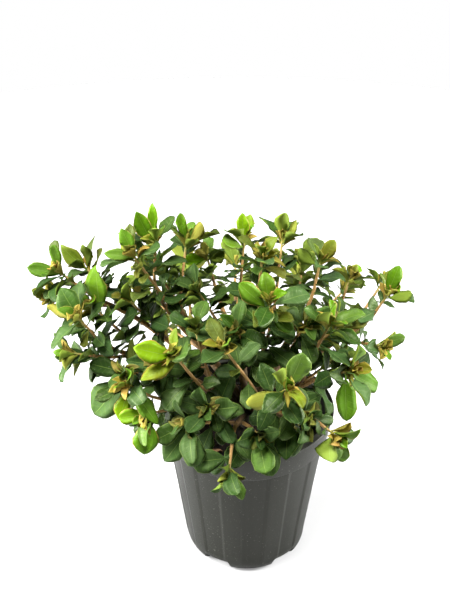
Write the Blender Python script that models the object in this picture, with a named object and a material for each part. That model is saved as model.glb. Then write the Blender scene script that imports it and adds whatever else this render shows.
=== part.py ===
"""Potted indian hawthorn: a fluted nursery pot, its potting mix, the woody stems and every leafy shoot.

Metres, +Z up. The origin is the middle of the pot's underside, and -Y is the front.
"""

import math
import random

import bmesh
import bpy
from mathutils import Matrix, Vector
from mathutils.bvhtree import BVHTree

# Pot
POT_HEIGHT = 0.195
RIM_RADIUS = 0.100
RIM_BAND_HEIGHT = 0.033
RIM_BAND_FOOT_RADIUS = 0.0936
LIP_WIDTH = 0.0065
LIP_EDGE_WIDTH = 0.0018
LIP_DROP = 0.001
LIP_HAUNCH = 0.004
WALL = 0.0018
BODY_TOP_RADIUS = 0.0913
BODY_FOOT_RADIUS = 0.073
CORNER_HEIGHT = 0.025
CORNER_START = (0.0705, 0.011)
FOOT_CORNER = (0.0665, 0.0035)
FOOT_OUTER_RADIUS = 0.061
FOOT_INNER_RADIUS = 0.057
FOOT_TAPER = 0.002
FLOOR_UNDERSIDE = 0.0087
FLOOR_RADIUS = 0.064
MIDDLE_FOOT_RADIUS = 0.009

# Flutes round the pot: a raised and a recessed panel in each pitch, and a notch under every second recess
FLUTE_COUNT = 10
FLUTE_PITCH = 360 / FLUTE_COUNT
FLUTE_DEPTH = 0.0012
FLUTE_RUNOUT = 0.0025
FIRST_RECESS_ANGLE = 6.4
RECESS_HALF_ANGLE = 8.0
NOTCH_HALF_ANGLE = 11.5
FLUTE_RISER_ANGLE = 2.0
FIRST_NOTCH_RECESS = 1
NOTCH_STEP = 2
DRAIN_RADIUS = 0.005
DRAIN_CIRCLE_RADIUS = 0.046

# Potting mix: each lump wave is its share of the height, its waves along X and Y, and its phase
CLEARANCE = 0.0004
MIX_TOP = 0.165
MIX_RADIUS = 0.0885
MIX_FLAT_RADIUS = 0.078
MIX_EDGE_DROP = 0.005
MIX_CHAMFER = (0.0008, 0.003)
MIX_TOP_RINGS = (0.076, 0.054, 0.032)
MIX_LUMP = 0.0022
LUMP_WAVES = [(0.5, 131, 117, 2.7), (0.5, 131, -117, 1.5), (0.7, -151, 233, 0.0)]
MIX_SIDES = 24

# Stems: FLATS is how far out their flat sides are, as a share of the radius to their corners
TRUNK_RADIUS = 0.008
TRUNK_BOTTOM = 0.120
TRUNK_FLARE_HEIGHT = 0.173
FORK = Vector((0.0, 0.0, 0.187))
TRUNK_TOP = 0.193
TRUNK_TAPER = 0.8
STEM_HOLE_RADIUS = 0.0087
LIMB_RADIUS = 0.0044
LIMB_END_RADIUS = 0.0026
SHOOT_RADIUS = 0.0018
SHOOT_TIP_RADIUS = 0.0010
SEAT_GAP = 0.0003
FLATS = 0.94
STRAIGHT_START = 0.003
SHOOT_PIECES = 3
FOLLOW_LIMB = 0.35
FORK_COSINE, FORK_SINE = 0.8, 0.6
STEM_CLEARANCE = 0.0025
BOWS = (0.0, 0.12, 0.24, 0.36)
BOW_TURNS = 8
SAMPLE_STEP = 0.002

# Leaves: blade stations are a share of the length and of the half width
LEAF_THICKNESS = 0.0014
LEAF_STATIONS = ((0.42, 0.92), (0.80, 0.80))
LEAF_GAP = 0.0009
POT_GAP = 0.002
GOLDEN_ANGLE = math.radians(137.5)
WHORL = 4
WHORL_SPAN = 0.10
LOWEST_LEAF = 0.26
TIP_SPREAD, FOOT_SPREAD = 24, 72
DROOP = 0.30
BUD_SIZE = 0.62
SLIMNESS = (0.44, 0.54)
PLACING_TRIES = 44
NUDGE = 0.012
VIEWED_FROM = Vector((0.0, -0.80, 0.60))
SEED = 20

LIMBS = {
    "left": [(-0.045, -0.008, 0.226), (-0.095, -0.018, 0.262), (-0.138, -0.022, 0.282)],
    "left_back": [(-0.050, 0.012, 0.236), (-0.110, 0.018, 0.290), (-0.158, 0.016, 0.322)],
    "upper_left": [(-0.030, 0.010, 0.240), (-0.072, 0.014, 0.290), (-0.092, 0.014, 0.320)],
    "upper_middle": [(-0.010, 0.020, 0.245), (-0.030, 0.045, 0.300)],
    "centre": [(0.010, -0.008, 0.240), (0.022, -0.015, 0.300)],
    "right_up": [(0.025, 0.005, 0.240), (0.052, 0.002, 0.300), (0.062, 0.002, 0.322)],
    "far_right": [(0.040, 0.010, 0.228), (0.085, 0.014, 0.264), (0.124, 0.010, 0.298)],
    "right_front": [(0.035, -0.025, 0.226), (0.075, -0.045, 0.266)],
    "right_droop": [(0.032, -0.046, 0.218), (0.062, -0.082, 0.243)],
    "front_left": [(-0.022, -0.040, 0.226), (-0.042, -0.074, 0.268)],
    "left_low": [(-0.042, -0.034, 0.220), (-0.088, -0.060, 0.246)],
    "front": [(0.010, -0.046, 0.228), (0.022, -0.088, 0.268)],
    "front_droop": [(-0.006, -0.050, 0.214), (-0.012, -0.092, 0.236)],
    "back_left": [(-0.042, 0.045, 0.224), (-0.086, 0.084, 0.256)],
    "back": [(-0.006, 0.055, 0.232), (-0.014, 0.100, 0.268)],
    "back_right": [(0.040, 0.045, 0.226), (0.080, 0.084, 0.258)],
}

# Leafy shoots: limb, place along it, tip, leaves, leaf length, tone
SHOOTS = [
    ("left", 1.00, (-0.180, -0.040, 0.337), 7, 0.040, "bronze_leaf"),
    ("left", 0.86, (-0.166, -0.010, 0.331), 7, 0.044, "lime_leaf"),
    ("left", 0.94, (-0.186, -0.052, 0.300), 7, 0.036, "lime_leaf"),
    ("left", 0.62, (-0.128, -0.062, 0.282), 6, 0.044, "dark_leaf"),
    ("left_back", 1.00, (-0.205, 0.010, 0.364), 7, 0.040, "bronze_leaf"),
    ("left_back", 0.88, (-0.179, 0.030, 0.358), 7, 0.042, "bronze_leaf"),
    ("left_back", 0.96, (-0.213, 0.022, 0.329), 6, 0.038, "bronze_leaf"),
    ("left_back", 0.60, (-0.128, -0.006, 0.338), 8, 0.042, "dark_leaf"),
    ("upper_left", 1.00, (-0.101, 0.020, 0.398), 8, 0.042, "lime_leaf"),
    ("upper_left", 0.86, (-0.122, -0.010, 0.398), 7, 0.040, "bronze_leaf"),
    ("upper_left", 0.80, (-0.069, 0.050, 0.380), 7, 0.040, "bronze_leaf"),
    ("upper_left", 0.62, (-0.110, 0.060, 0.350), 7, 0.042, "dark_leaf"),
    ("upper_middle", 1.00, (-0.047, 0.070, 0.350), 7, 0.038, "lime_leaf"),
    ("upper_middle", 0.75, (-0.005, 0.060, 0.380), 7, 0.038, "lime_leaf"),
    ("upper_middle", 0.62, (-0.055, 0.005, 0.345), 8, 0.042, "dark_leaf"),
    ("centre", 1.00, (0.036, 0.020, 0.404), 8, 0.038, "bronze_leaf"),
    ("centre", 0.90, (0.014, -0.010, 0.398), 7, 0.038, "bronze_leaf"),
    ("centre", 0.80, (0.022, -0.060, 0.372), 7, 0.044, "lime_leaf"),
    ("centre", 0.62, (-0.012, -0.048, 0.330), 8, 0.044, "dark_leaf"),
    ("right_up", 1.00, (0.077, 0.010, 0.380), 8, 0.038, "bronze_leaf"),
    ("right_up", 0.80, (0.060, 0.062, 0.350), 8, 0.040, "dark_leaf"),
    ("right_up", 0.60, (0.062, -0.040, 0.330), 8, 0.044, "dark_leaf"),
    ("far_right", 1.00, (0.151, 0.010, 0.338), 7, 0.034, "lime_leaf"),
    ("far_right", 0.70, (0.114, 0.050, 0.337), 7, 0.034, "lime_leaf"),
    ("far_right", 0.90, (0.148, 0.046, 0.330), 6, 0.032, "bronze_leaf"),
    ("far_right", 0.82, (0.142, -0.030, 0.300), 6, 0.034, "lime_leaf"),
    ("right_front", 1.00, (0.106, -0.060, 0.287), 7, 0.046, "bronze_leaf"),
    ("right_front", 0.80, (0.086, -0.050, 0.340), 7, 0.042, "lime_leaf"),
    ("right_front", 0.62, (0.095, -0.012, 0.268), 7, 0.044, "dark_leaf"),
    ("right_droop", 1.00, (0.090, -0.110, 0.243), 7, 0.038, "lime_leaf"),
    ("right_droop", 0.70, (0.062, -0.112, 0.262), 6, 0.042, "dark_leaf"),
    ("front_left", 1.00, (-0.074, -0.092, 0.326), 8, 0.044, "lime_leaf"),
    ("front_left", 0.80, (-0.055, -0.060, 0.338), 8, 0.042, "dark_leaf"),
    ("front_left", 0.62, (-0.040, -0.100, 0.264), 8, 0.046, "dark_leaf"),
    ("left_low", 1.00, (-0.126, -0.080, 0.280), 7, 0.040, "lime_leaf"),
    ("left_low", 0.80, (-0.104, -0.098, 0.256), 7, 0.044, "lime_leaf"),
    ("left_low", 0.66, (-0.092, -0.020, 0.240), 6, 0.044, "dark_leaf"),
    ("front", 1.00, (0.040, -0.128, 0.312), 8, 0.042, "lime_leaf"),
    ("front", 0.80, (-0.024, -0.100, 0.342), 7, 0.038, "bronze_leaf"),
    ("front", 0.62, (0.048, -0.098, 0.256), 7, 0.046, "dark_leaf"),
    ("front_droop", 1.00, (-0.018, -0.132, 0.206), 8, 0.035, "dark_leaf"),
    ("front_droop", 0.78, (-0.062, -0.112, 0.256), 8, 0.048, "dark_leaf"),
    ("front_droop", 0.70, (0.012, -0.118, 0.246), 7, 0.048, "dark_leaf"),
    ("back_left", 1.00, (-0.122, 0.112, 0.284), 8, 0.044, "dark_leaf"),
    ("back_left", 0.78, (-0.072, 0.128, 0.300), 7, 0.044, "lime_leaf"),
    ("back_left", 0.66, (-0.100, 0.120, 0.224), 7, 0.044, "dark_leaf"),
    ("back", 1.00, (-0.016, 0.140, 0.300), 7, 0.044, "lime_leaf"),
    ("back", 0.74, (0.020, 0.098, 0.322), 8, 0.042, "dark_leaf"),
    ("back", 0.66, (-0.010, 0.146, 0.234), 7, 0.044, "dark_leaf"),
    ("back_right", 1.00, (0.112, 0.108, 0.284), 8, 0.044, "dark_leaf"),
    ("back_right", 0.78, (0.058, 0.130, 0.292), 7, 0.042, "lime_leaf"),
    ("back_right", 0.66, (0.096, 0.118, 0.224), 7, 0.044, "dark_leaf"),
    ("left", 0.42, (-0.096, -0.058, 0.292), 8, 0.044, "dark_leaf"),
    ("right_up", 0.46, (0.098, -0.022, 0.318), 8, 0.042, "dark_leaf"),
]

# Leaves set by eye, by shoot: place along its stem, tip, width, and whether the underside shows in front
SET_LEAVES = {
    1: [(0.90, (-0.199, -0.030, 0.366), 0.026, False), (0.96, (-0.214, -0.014, 0.336), 0.014, True)],
    2: [(0.85, (-0.166, -0.015, 0.384), 0.026, False), (0.62, (-0.145, -0.055, 0.339), 0.027, True)],
    3: [(0.55, (-0.200, -0.060, 0.303), 0.017, False)],
    4: [(0.92, (-0.172, -0.060, 0.222), 0.038, False)],
    5: [(0.90, (-0.238, 0.004, 0.374), 0.017, False), (0.97, (-0.210, 0.010, 0.396), 0.013, False)],
    6: [(0.92, (-0.205, 0.028, 0.384), 0.018, False), (0.97, (-0.177, 0.030, 0.390), 0.014, True)],
    7: [(0.97, (-0.240, 0.010, 0.338), 0.013, True)],
    9: [(0.90, (-0.120, 0.018, 0.434), 0.019, False), (0.98, (-0.104, 0.024, 0.440), 0.011, False)],
    10: [(0.95, (-0.152, -0.012, 0.402), 0.014, False), (0.97, (-0.134, -0.004, 0.426), 0.016, False)],
    11: [(0.97, (-0.076, 0.050, 0.415), 0.013, False), (0.95, (-0.048, 0.044, 0.408), 0.016, True)],
    13: [(0.95, (-0.074, 0.055, 0.356), 0.018, False), (0.96, (-0.024, 0.060, 0.361), 0.018, True)],
    14: [(0.97, (-0.008, 0.058, 0.410), 0.015, False), (0.90, (-0.028, 0.045, 0.388), 0.018, False)],
    16: [(0.98, (0.035, 0.020, 0.437), 0.017, True), (0.95, (0.052, 0.020, 0.427), 0.012, True)],
    18: [(0.88, (-0.008, -0.074, 0.402), 0.020, False), (0.24, (0.060, -0.082, 0.300), 0.020, False)],
    20: [(0.95, (0.090, 0.010, 0.406), 0.016, False), (0.92, (0.050, 0.006, 0.398), 0.017, True)],
    23: [(0.95, (0.162, 0.014, 0.372), 0.018, False), (0.95, (0.178, -0.006, 0.350), 0.016, True)],
    27: [(0.94, (0.108, -0.082, 0.236), 0.026, False), (0.97, (0.143, -0.048, 0.258), 0.021, False)],
    28: [(0.95, (0.080, -0.074, 0.378), 0.027, True)],
    30: [(0.97, (0.084, -0.138, 0.226), 0.027, True), (0.93, (0.107, -0.112, 0.205), 0.017, False)],
    32: [(0.96, (-0.112, -0.108, 0.346), 0.023, False), (0.88, (-0.106, -0.118, 0.318), 0.018, False)],
    35: [(0.95, (-0.136, -0.098, 0.246), 0.017, False), (0.92, (-0.096, -0.118, 0.262), 0.018, False)],
    36: [(0.97, (-0.108, -0.122, 0.219), 0.027, False)],
    38: [(0.97, (0.028, -0.138, 0.348), 0.014, True), (0.92, (-0.002, -0.152, 0.308), 0.017, True)],
    40: [(0.92, (0.040, -0.142, 0.238), 0.028, False)],
    41: [(0.72, (-0.056, -0.136, 0.222), 0.026, False), (0.97, (-0.002, -0.150, 0.184), 0.014, False)],
    42: [(0.85, (-0.088, -0.128, 0.214), 0.028, False), (0.97, (-0.052, -0.146, 0.226), 0.024, False)],
    43: [(0.95, (0.020, -0.154, 0.224), 0.025, False)],
}

# Loose bits on the mix: place, turn and size of each chip, then of the dry leaf
BARK_CHIPS = [
    ((0.028, -0.058), 30, (0.016, 0.007, 0.004)),
    ((0.058, -0.040), 110, (0.019, 0.009, 0.005)),
]
DRY_LEAF_PLACE = (-0.036, -0.052)
DRY_LEAF_TURN = 25
DRY_LEAF_SIZE = (0.022, 0.011)
DRY_LEAF_CURL = 0.04
DRY_LEAF_FOLD = 0.35
GRID_STEPS = 9

# Colour and roughness of each material
COLOURS = {
    "pot_plastic": ((0.075, 0.078, 0.070), 0.48),
    "potting_mix": ((0.012, 0.010, 0.008), 0.95),
    "bark": ((0.165, 0.085, 0.042), 0.80),
    "dry_leaf": ((0.330, 0.170, 0.080), 0.70),
    "dark_leaf": ((0.050, 0.115, 0.030), 0.40),
    "lime_leaf": ((0.150, 0.290, 0.030), 0.38),
    "bronze_leaf": ((0.260, 0.230, 0.060), 0.42),
}


def clear_scene():
    for obj in list(bpy.data.objects):
        bpy.data.objects.remove(obj)


def new_collection(name, shown=True):
    made = bpy.data.collections.new(name)
    bpy.context.scene.collection.children.link(made)
    made.hide_render = not shown
    return made


def principled(name):
    colour, roughness = COLOURS[name]
    material = bpy.data.materials.new(name)
    material.use_nodes = True
    shader = material.node_tree.nodes["Principled BSDF"]
    shader.inputs["Base Color"].default_value = (*colour, 1)
    shader.inputs["Roughness"].default_value = roughness
    shader.inputs["Metallic"].default_value = 0
    return material


def add_mesh(name, mesh, collection):
    obj = bpy.data.objects.new(name, mesh)
    collection.objects.link(obj)
    return obj


def mesh_from(name, points, faces):
    mesh = bpy.data.meshes.new(name)
    mesh.from_pydata(points, [], faces)
    return mesh


def apply_modifiers(obj):
    """Bakes the object's modifiers into its own mesh."""
    graph = bpy.context.evaluated_depsgraph_get()
    mesh = bpy.data.meshes.new_from_object(obj.evaluated_get(graph))
    obj.modifiers.clear()
    obj.data = mesh


def boolean(obj, operation, collection, solver="EXACT"):
    """Cuts obj by everything in the collection, or joins it on, then removes the collection's objects."""
    modifier = obj.modifiers.new(operation.lower(), "BOOLEAN")
    modifier.operation = operation
    modifier.operand_type = "COLLECTION"
    modifier.collection = collection
    modifier.solver = solver
    apply_modifiers(obj)
    for other in list(collection.objects):
        bpy.data.objects.remove(other)


def shade(obj, angle=40):
    obj.data.shade_smooth()
    obj.data.set_sharp_from_angle(angle=math.radians(angle))


def tube(name, points, radii, collection, sides=6):
    """A closed tube along the points, each with its own radius."""
    curve = bpy.data.curves.new(name, "CURVE")
    curve.dimensions = "3D"
    curve.bevel_depth = 1
    curve.bevel_resolution = sides // 2 - 2
    curve.use_fill_caps = True
    spline = curve.splines.new("POLY")
    spline.points.add(len(points) - 1)
    for knot, point, radius in zip(spline.points, points, radii):
        knot.co = (*point, 1)
        knot.radius = radius
    route = bpy.data.objects.new(name + "_route", curve)
    collection.objects.link(route)
    graph = bpy.context.evaluated_depsgraph_get()
    mesh = bpy.data.meshes.new_from_object(route.evaluated_get(graph))
    bpy.data.objects.remove(route)
    skin = bmesh.new()
    skin.from_mesh(mesh)
    bmesh.ops.remove_doubles(skin, verts=skin.verts, dist=0.00001)
    bmesh.ops.recalc_face_normals(skin, faces=skin.faces)
    skin.to_mesh(mesh)
    skin.free()
    return add_mesh(name, mesh, collection)


# Pot


def around(radius, angle, height):
    """A point at this many degrees from the front, turning towards +X."""
    turn = math.radians(angle)
    return Vector((radius * math.sin(turn), -radius * math.cos(turn), height))


def pot_rings():
    """Radius, height, share of the flute and whether notches lift it, from underneath round to the inside."""
    edge = RIM_RADIUS - LIP_EDGE_WIDTH
    lip = edge - LIP_WIDTH
    lip_top = POT_HEIGHT - LIP_DROP
    seam = POT_HEIGHT - RIM_BAND_HEIGHT
    return [
        (FOOT_INNER_RADIUS - FOOT_TAPER, FLOOR_UNDERSIDE, 0, False),
        (FOOT_INNER_RADIUS, 0, 0, True),
        (FOOT_OUTER_RADIUS, 0, 0, True),
        (*FOOT_CORNER, 0, True),
        (*CORNER_START, 0, False),
        (BODY_FOOT_RADIUS, CORNER_HEIGHT, 1, False),
        (BODY_TOP_RADIUS, seam - FLUTE_RUNOUT - CLEARANCE, 1, False),
        (BODY_TOP_RADIUS, seam - CLEARANCE, 0, False),
        (RIM_BAND_FOOT_RADIUS, seam, 0, False),
        (RIM_RADIUS, POT_HEIGHT, 0, False),
        (edge, POT_HEIGHT, 0, False),
        (lip, lip_top, 0, False),
        (lip, lip_top - WALL, 0, False),
        (RIM_RADIUS - LIP_HAUNCH, lip_top - WALL, 0, False),
        (RIM_BAND_FOOT_RADIUS - WALL, seam, 0, False),
        (BODY_TOP_RADIUS - WALL, seam - WALL, 0, False),
        (BODY_FOOT_RADIUS - WALL, CORNER_HEIGHT, 1, False),
        (FLOOR_RADIUS, FLOOR_UNDERSIDE + WALL, 0, False),
    ]


def notch_height(height, recess):
    """The underside's height at a recess: the notched ones are lifted to the floor."""
    return max(height, FLOOR_UNDERSIDE) if recess % NOTCH_STEP == FIRST_NOTCH_RECESS else height


def pot_ring(radius, height, flute, notched):
    """Six points to each flute pitch: the raised panel's middle, then the recess between its two risers."""
    edge = NOTCH_HALF_ANGLE if notched else RECESS_HALF_ANGLE
    riser = edge + FLUTE_RISER_ANGLE
    ring = []
    for recess in range(FLUTE_COUNT):
        centre = FIRST_RECESS_ANGLE + FLUTE_PITCH * recess
        low = notch_height(height, recess) if notched else height
        sunk = radius - FLUTE_DEPTH * flute
        ring.append(around(radius, centre - FLUTE_PITCH / 2, height))
        ring.append(around(radius, centre - riser, height))
        ring.append(around(sunk, centre - edge, low))
        ring.append(around(sunk, centre, low))
        ring.append(around(sunk, centre + edge, low))
        ring.append(around(radius, centre + riser, height))
    return ring


def loft(name, rings):
    """A closed skin through rings of equal count, with a flat cap at each end."""
    count = len(rings[0])
    points = [point for ring in rings for point in ring]
    faces = [tuple(reversed(range(count)))]
    for low in range(0, len(points) - count, count):
        for side in range(count):
            after = (side + 1) % count
            faces.append((low + side, low + after, low + count + after, low + count + side))
    faces.append(tuple(range(len(points) - count, len(points))))
    mesh = mesh_from(name, points, faces)
    skin = bmesh.new()
    skin.from_mesh(mesh)
    bmesh.ops.triangulate(skin, faces=skin.faces)
    bmesh.ops.recalc_face_normals(skin, faces=skin.faces)
    skin.to_mesh(mesh)
    skin.free()
    return mesh


def add_cylinder(name, radius, bottom, top, centre, sides, collection):
    skin = bmesh.new()
    bmesh.ops.create_cone(
        skin,
        cap_ends=True,
        segments=sides,
        radius1=radius,
        radius2=radius,
        depth=top - bottom,
        matrix=Matrix.Translation((*centre, (top + bottom) / 2)),
    )
    mesh = bpy.data.meshes.new(name)
    skin.to_mesh(mesh)
    skin.free()
    return add_mesh(name, mesh, collection)


def make_pot(parts, cutters):
    pot = add_mesh("pot", loft("pot", [pot_ring(*ring) for ring in pot_rings()]), parts)
    for recess in range(FIRST_NOTCH_RECESS, FLUTE_COUNT, NOTCH_STEP):
        place = around(DRAIN_CIRCLE_RADIUS, FIRST_RECESS_ANGLE + FLUTE_PITCH * recess, 0)
        add_cylinder("drain", DRAIN_RADIUS, -0.005, 0.02, place.xy, 10, cutters)
    boolean(pot, "DIFFERENCE", cutters)
    add_cylinder("middle_foot", MIDDLE_FOOT_RADIUS, 0, FLOOR_UNDERSIDE + WALL / 2, (0, 0), 12, cutters)
    boolean(pot, "UNION", cutters)
    pot.data.materials.append(principled("pot_plastic"))
    shade(pot, 30)
    return pot


# Potting mix


def mix_height(x, y):
    """The lumpy top of the potting mix, sunk at its edge."""
    edge = max(0.0, math.hypot(x, y) - MIX_FLAT_RADIUS) / (MIX_RADIUS - MIX_FLAT_RADIUS)
    lumps = sum(share * math.sin(u * x + v * y + phase) for share, u, v, phase in LUMP_WAVES)
    return MIX_TOP + MIX_LUMP * lumps * (1 - edge) - MIX_EDGE_DROP * edge


def mix_ring(radius, height=None):
    ring = []
    for side in range(MIX_SIDES):
        point = around(radius, 360 * side / MIX_SIDES, 0)
        point.z = mix_height(point.x, point.y) if height is None else height
        ring.append(point)
    return ring


def make_potting_mix(parts, cutters):
    inset, depth = MIX_CHAMFER
    rings = [
        mix_ring(FLOOR_RADIUS - 2 * CLEARANCE, FLOOR_UNDERSIDE + WALL + CLEARANCE),
        mix_ring(BODY_FOOT_RADIUS - WALL - FLUTE_DEPTH - 2 * CLEARANCE, CORNER_HEIGHT),
        mix_ring(MIX_RADIUS, MIX_TOP - MIX_EDGE_DROP - depth),
        mix_ring(MIX_RADIUS - inset),
    ]
    rings += [mix_ring(radius) for radius in MIX_TOP_RINGS]
    mix = add_mesh("potting_mix", loft("potting_mix", rings), parts)
    add_cylinder("stem_hole", STEM_HOLE_RADIUS, TRUNK_BOTTOM - CLEARANCE, POT_HEIGHT, (0, 0), 12, cutters)
    boolean(mix, "DIFFERENCE", cutters)
    mix.data.materials.append(principled("potting_mix"))
    return mix


# Stems


def bezier(knots, share):
    """A point on the smooth curve that the knots pull towards themselves."""
    points = list(knots)
    while len(points) > 1:
        points = [a.lerp(b, share) for a, b in zip(points, points[1:])]
    return points[0]


def through(knots, share):
    """A point on a smooth curve through the knots, spaced evenly."""
    spans = len(knots) - 1
    place = min(share * spans, spans - 1e-9)
    index = int(place)
    part = place - index
    before = knots[max(index - 1, 0)]
    start, end = knots[index], knots[index + 1]
    after = knots[min(index + 2, spans)]
    lead, trail = (end - before) / 2, (after - start) / 2
    square, cube = part**2, part**3
    return (
        start * (2 * cube - 3 * square + 1)
        + lead * (cube - 2 * square + part)
        + end * (3 * square - 2 * cube)
        + trail * (cube - square)
    )


class Stem:
    """A route with a radius that tapers along it."""

    def __init__(self, points, radius, end_radius):
        self.points = points
        self.lengths = [0.0]
        for a, b in zip(points, points[1:]):
            self.lengths.append(self.lengths[-1] + (b - a).length)
        self.length = self.lengths[-1]
        self.radii = [radius + (end_radius - radius) * reached / self.length for reached in self.lengths]

    def at(self, share):
        """Place, direction and radius at this share of the length."""
        want = share * self.length
        index = 0
        while index < len(self.points) - 2 and self.lengths[index + 1] < want:
            index += 1
        span = self.lengths[index + 1] - self.lengths[index]
        part = (want - self.lengths[index]) / span
        a, b = self.points[index], self.points[index + 1]
        radius = self.radii[index] + (self.radii[index + 1] - self.radii[index]) * part
        return a.lerp(b, part), (b - a).normalized(), radius

    def samples(self):
        count = max(2, int(self.length / SAMPLE_STEP))
        return [(self.at(i / count)[0], self.at(i / count)[2]) for i in range(count + 1)]

    def shell(self, grow=0.0, sides=6):
        """Points and faces of a plain tube round the route, for clearance tests."""
        points, faces = [], []
        for index, (point, radius) in enumerate(zip(self.points, self.radii)):
            ahead = self.points[min(index + 1, len(self.points) - 1)]
            behind = self.points[max(index - 1, 0)]
            along = (ahead - behind).normalized()
            across = along.orthogonal().normalized()
            other = along.cross(across)
            for side in range(sides):
                turn = math.tau * side / sides
                points.append(point + (across * math.cos(turn) + other * math.sin(turn)) * (radius + grow))
        for low in range(0, len(points) - sides, sides):
            for side in range(sides):
                after = (side + 1) % sides
                faces.append((low + side, low + after, low + sides + after, low + sides + side))
        return points, faces


def limb_stem(name):
    knots = [FORK] + [Vector(point) for point in LIMBS[name]]
    pieces = 1 + len(LIMBS[name])
    points = [through(knots, piece / pieces) for piece in range(pieces + 1)]
    return Stem(points, LIMB_RADIUS, LIMB_END_RADIUS)


def seat(limb, along, tip):
    """Where a shoot starts, just clear of its limb's bark, and the way that it sets off."""
    place, direction, radius = limb.at(along)
    if along >= 1:
        return place + direction * SEAT_GAP, direction
    towards = (tip - place).normalized()
    setting_off = (direction * FOLLOW_LIMB + towards).normalized()
    cosine = setting_off.dot(direction)
    sine = math.sqrt(1 - cosine * cosine)
    if sine < FORK_SINE:
        aside = (setting_off - direction * cosine).normalized()
        cosine, sine = FORK_COSINE, FORK_SINE
        setting_off = direction * cosine + aside * sine
    start = (FLATS * (radius + SHOOT_RADIUS * abs(cosine)) + SEAT_GAP) / sine
    return place + setting_off * start, setting_off


def room(stem, others, skip_start):
    """The least clear distance from the stem to the other stems' samples."""
    least = 1.0
    for place, radius in stem.samples():
        if (place - stem.points[0]).length < skip_start:
            continue
        for other_place, other_radius in others:
            gap = (place - other_place).length - radius - other_radius
            least = min(least, gap)
    return least


def shoot_stem(limb, along, tip, others):
    """A shoot that curves from its limb to its tip, bowed aside where another stem is in the way."""
    tip = Vector(tip)
    start, setting_off = seat(limb, along, tip)
    straight = start + setting_off * STRAIGHT_START
    reach = (tip - start).length
    aside = setting_off.orthogonal().normalized()
    around_it = setting_off.cross(aside)
    best = None
    for bow in BOWS:
        for turn in range(BOW_TURNS if bow else 1):
            swing = math.tau * turn / BOW_TURNS
            push = (aside * math.cos(swing) + around_it * math.sin(swing)) * bow * reach
            knots = [straight, start + setting_off * reach * 0.42, start.lerp(tip, 0.7) + push, tip]
            points = [start] + [bezier(knots, piece / SHOOT_PIECES) for piece in range(SHOOT_PIECES + 1)]
            stem = Stem(points, SHOOT_RADIUS, SHOOT_TIP_RADIUS)
            gap = room(stem, others, 0.008)
            if gap > STEM_CLEARANCE:
                return stem
            if best is None or gap > best[0]:
                best = (gap, stem)
    return best[1]


def make_woody_stems(parts, cutters, limbs):
    trunk_points = [(0, 0, height) for height in (TRUNK_BOTTOM, TRUNK_FLARE_HEIGHT, TRUNK_TOP)]
    trunk_radii = [TRUNK_RADIUS, TRUNK_RADIUS, TRUNK_TAPER * TRUNK_RADIUS]
    trunk = tube("woody_stems", trunk_points, trunk_radii, parts, 10)
    for name, limb in limbs.items():
        tube("limb_" + name, limb.points, limb.radii, cutters, 6)
    boolean(trunk, "UNION", cutters)
    trunk.data.materials.append(principled("bark"))
    shade(trunk, 50)
    return trunk


# Leaves


class Leaf:
    """A folded, arched blade: its base, the way it points, its upper face's normal and its sizes."""

    def __init__(self, base, along, face, length, width, arch, fold):
        self.base = base
        self.along = along.normalized()
        self.side = self.along.cross(face).normalized()
        self.face = self.side.cross(self.along)
        self.length = length
        self.width = width
        self.arch = arch
        self.fold = fold

    def point(self, share, across, lift=0.0):
        """A point of the blade: share along the midrib, across it in half widths."""
        ahead = self.length * (share - 0.25 * self.arch * self.arch * share**3)
        half = self.width / 2
        rise = self.fold * half * abs(across) - self.arch * self.length * share**2 + lift
        return self.base + self.along * ahead + self.side * half * across + self.face * rise

    def solid(self):
        """The closed blade, thick at the midrib and thin at its edge: base point, rings of four and tip."""
        points = [self.point(0, 0)]
        for share, wide in LEAF_STATIONS:
            for across, lift in ((-wide, 0), (0, 0.5), (wide, 0), (0, -0.5)):
                points.append(self.point(share, across, lift * LEAF_THICKNESS))
        points.append(self.point(1, 0))
        tip = len(points) - 1
        faces = []
        for turn in range(4):
            after = (turn + 1) % 4
            faces += [(0, 1 + after, 1 + turn), (tip - 4 + turn, tip - 4 + after, tip)]
            for low in range(1, tip - 4, 4):
                here, there = low + turn, low + after
                if turn % 2:
                    faces += [(here, there, here + 4), (there, there + 4, here + 4)]
                else:
                    faces += [(here, there, there + 4), (here, there + 4, here + 4)]
        return points, faces

    def face_of(self, side, gap, whole):
        """One face of the blade, grown by the gap; whole takes in the part next to the stem too."""
        length, width = self.length + gap, self.width + 2 * gap
        grown = Leaf(self.base, self.along, self.face, length, width, self.arch, self.fold)
        points = [grown.point(0, 0, side * gap)]
        for share, wide in LEAF_STATIONS:
            for across in (-wide, 0, wide):
                lift = gap + (0 if across else LEAF_THICKNESS / 2)
                points.append(grown.point(share, across, side * lift))
        points.append(grown.point(1, 0, side * gap))
        tip = len(points) - 1
        faces = [(0, 2, 1), (0, 3, 2)] if whole else []
        for low in range(1, tip - 3, 3):
            left, middle, right = low, low + 1, low + 2
            faces += [(left, middle, middle + 3), (left, middle + 3, left + 3)]
            faces += [(middle, right, middle + 3), (right, right + 3, middle + 3)]
        return points, faces + [(tip - 3, tip - 2, tip), (tip - 2, tip - 1, tip)]

    def shell(self, gap, whole):
        """Both faces of the blade for a clearance test, and the strip round its edge where they are apart."""
        upper, corners = self.face_of(1, gap, whole)
        lower, _ = self.face_of(-1, gap, whole)
        count = len(upper)
        faces = corners + [tuple(corner + count for corner in face) for face in corners]
        if gap:
            outline = [*range(1, count - 1, 3), count - 1, *range(count - 2, 2, -3)]
            if whole:
                outline = [0, *outline, 0]
            for here, there in zip(outline, outline[1:]):
                faces += [(here, there, there + count), (here, there + count, here + count)]
        return upper + lower, faces


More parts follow.
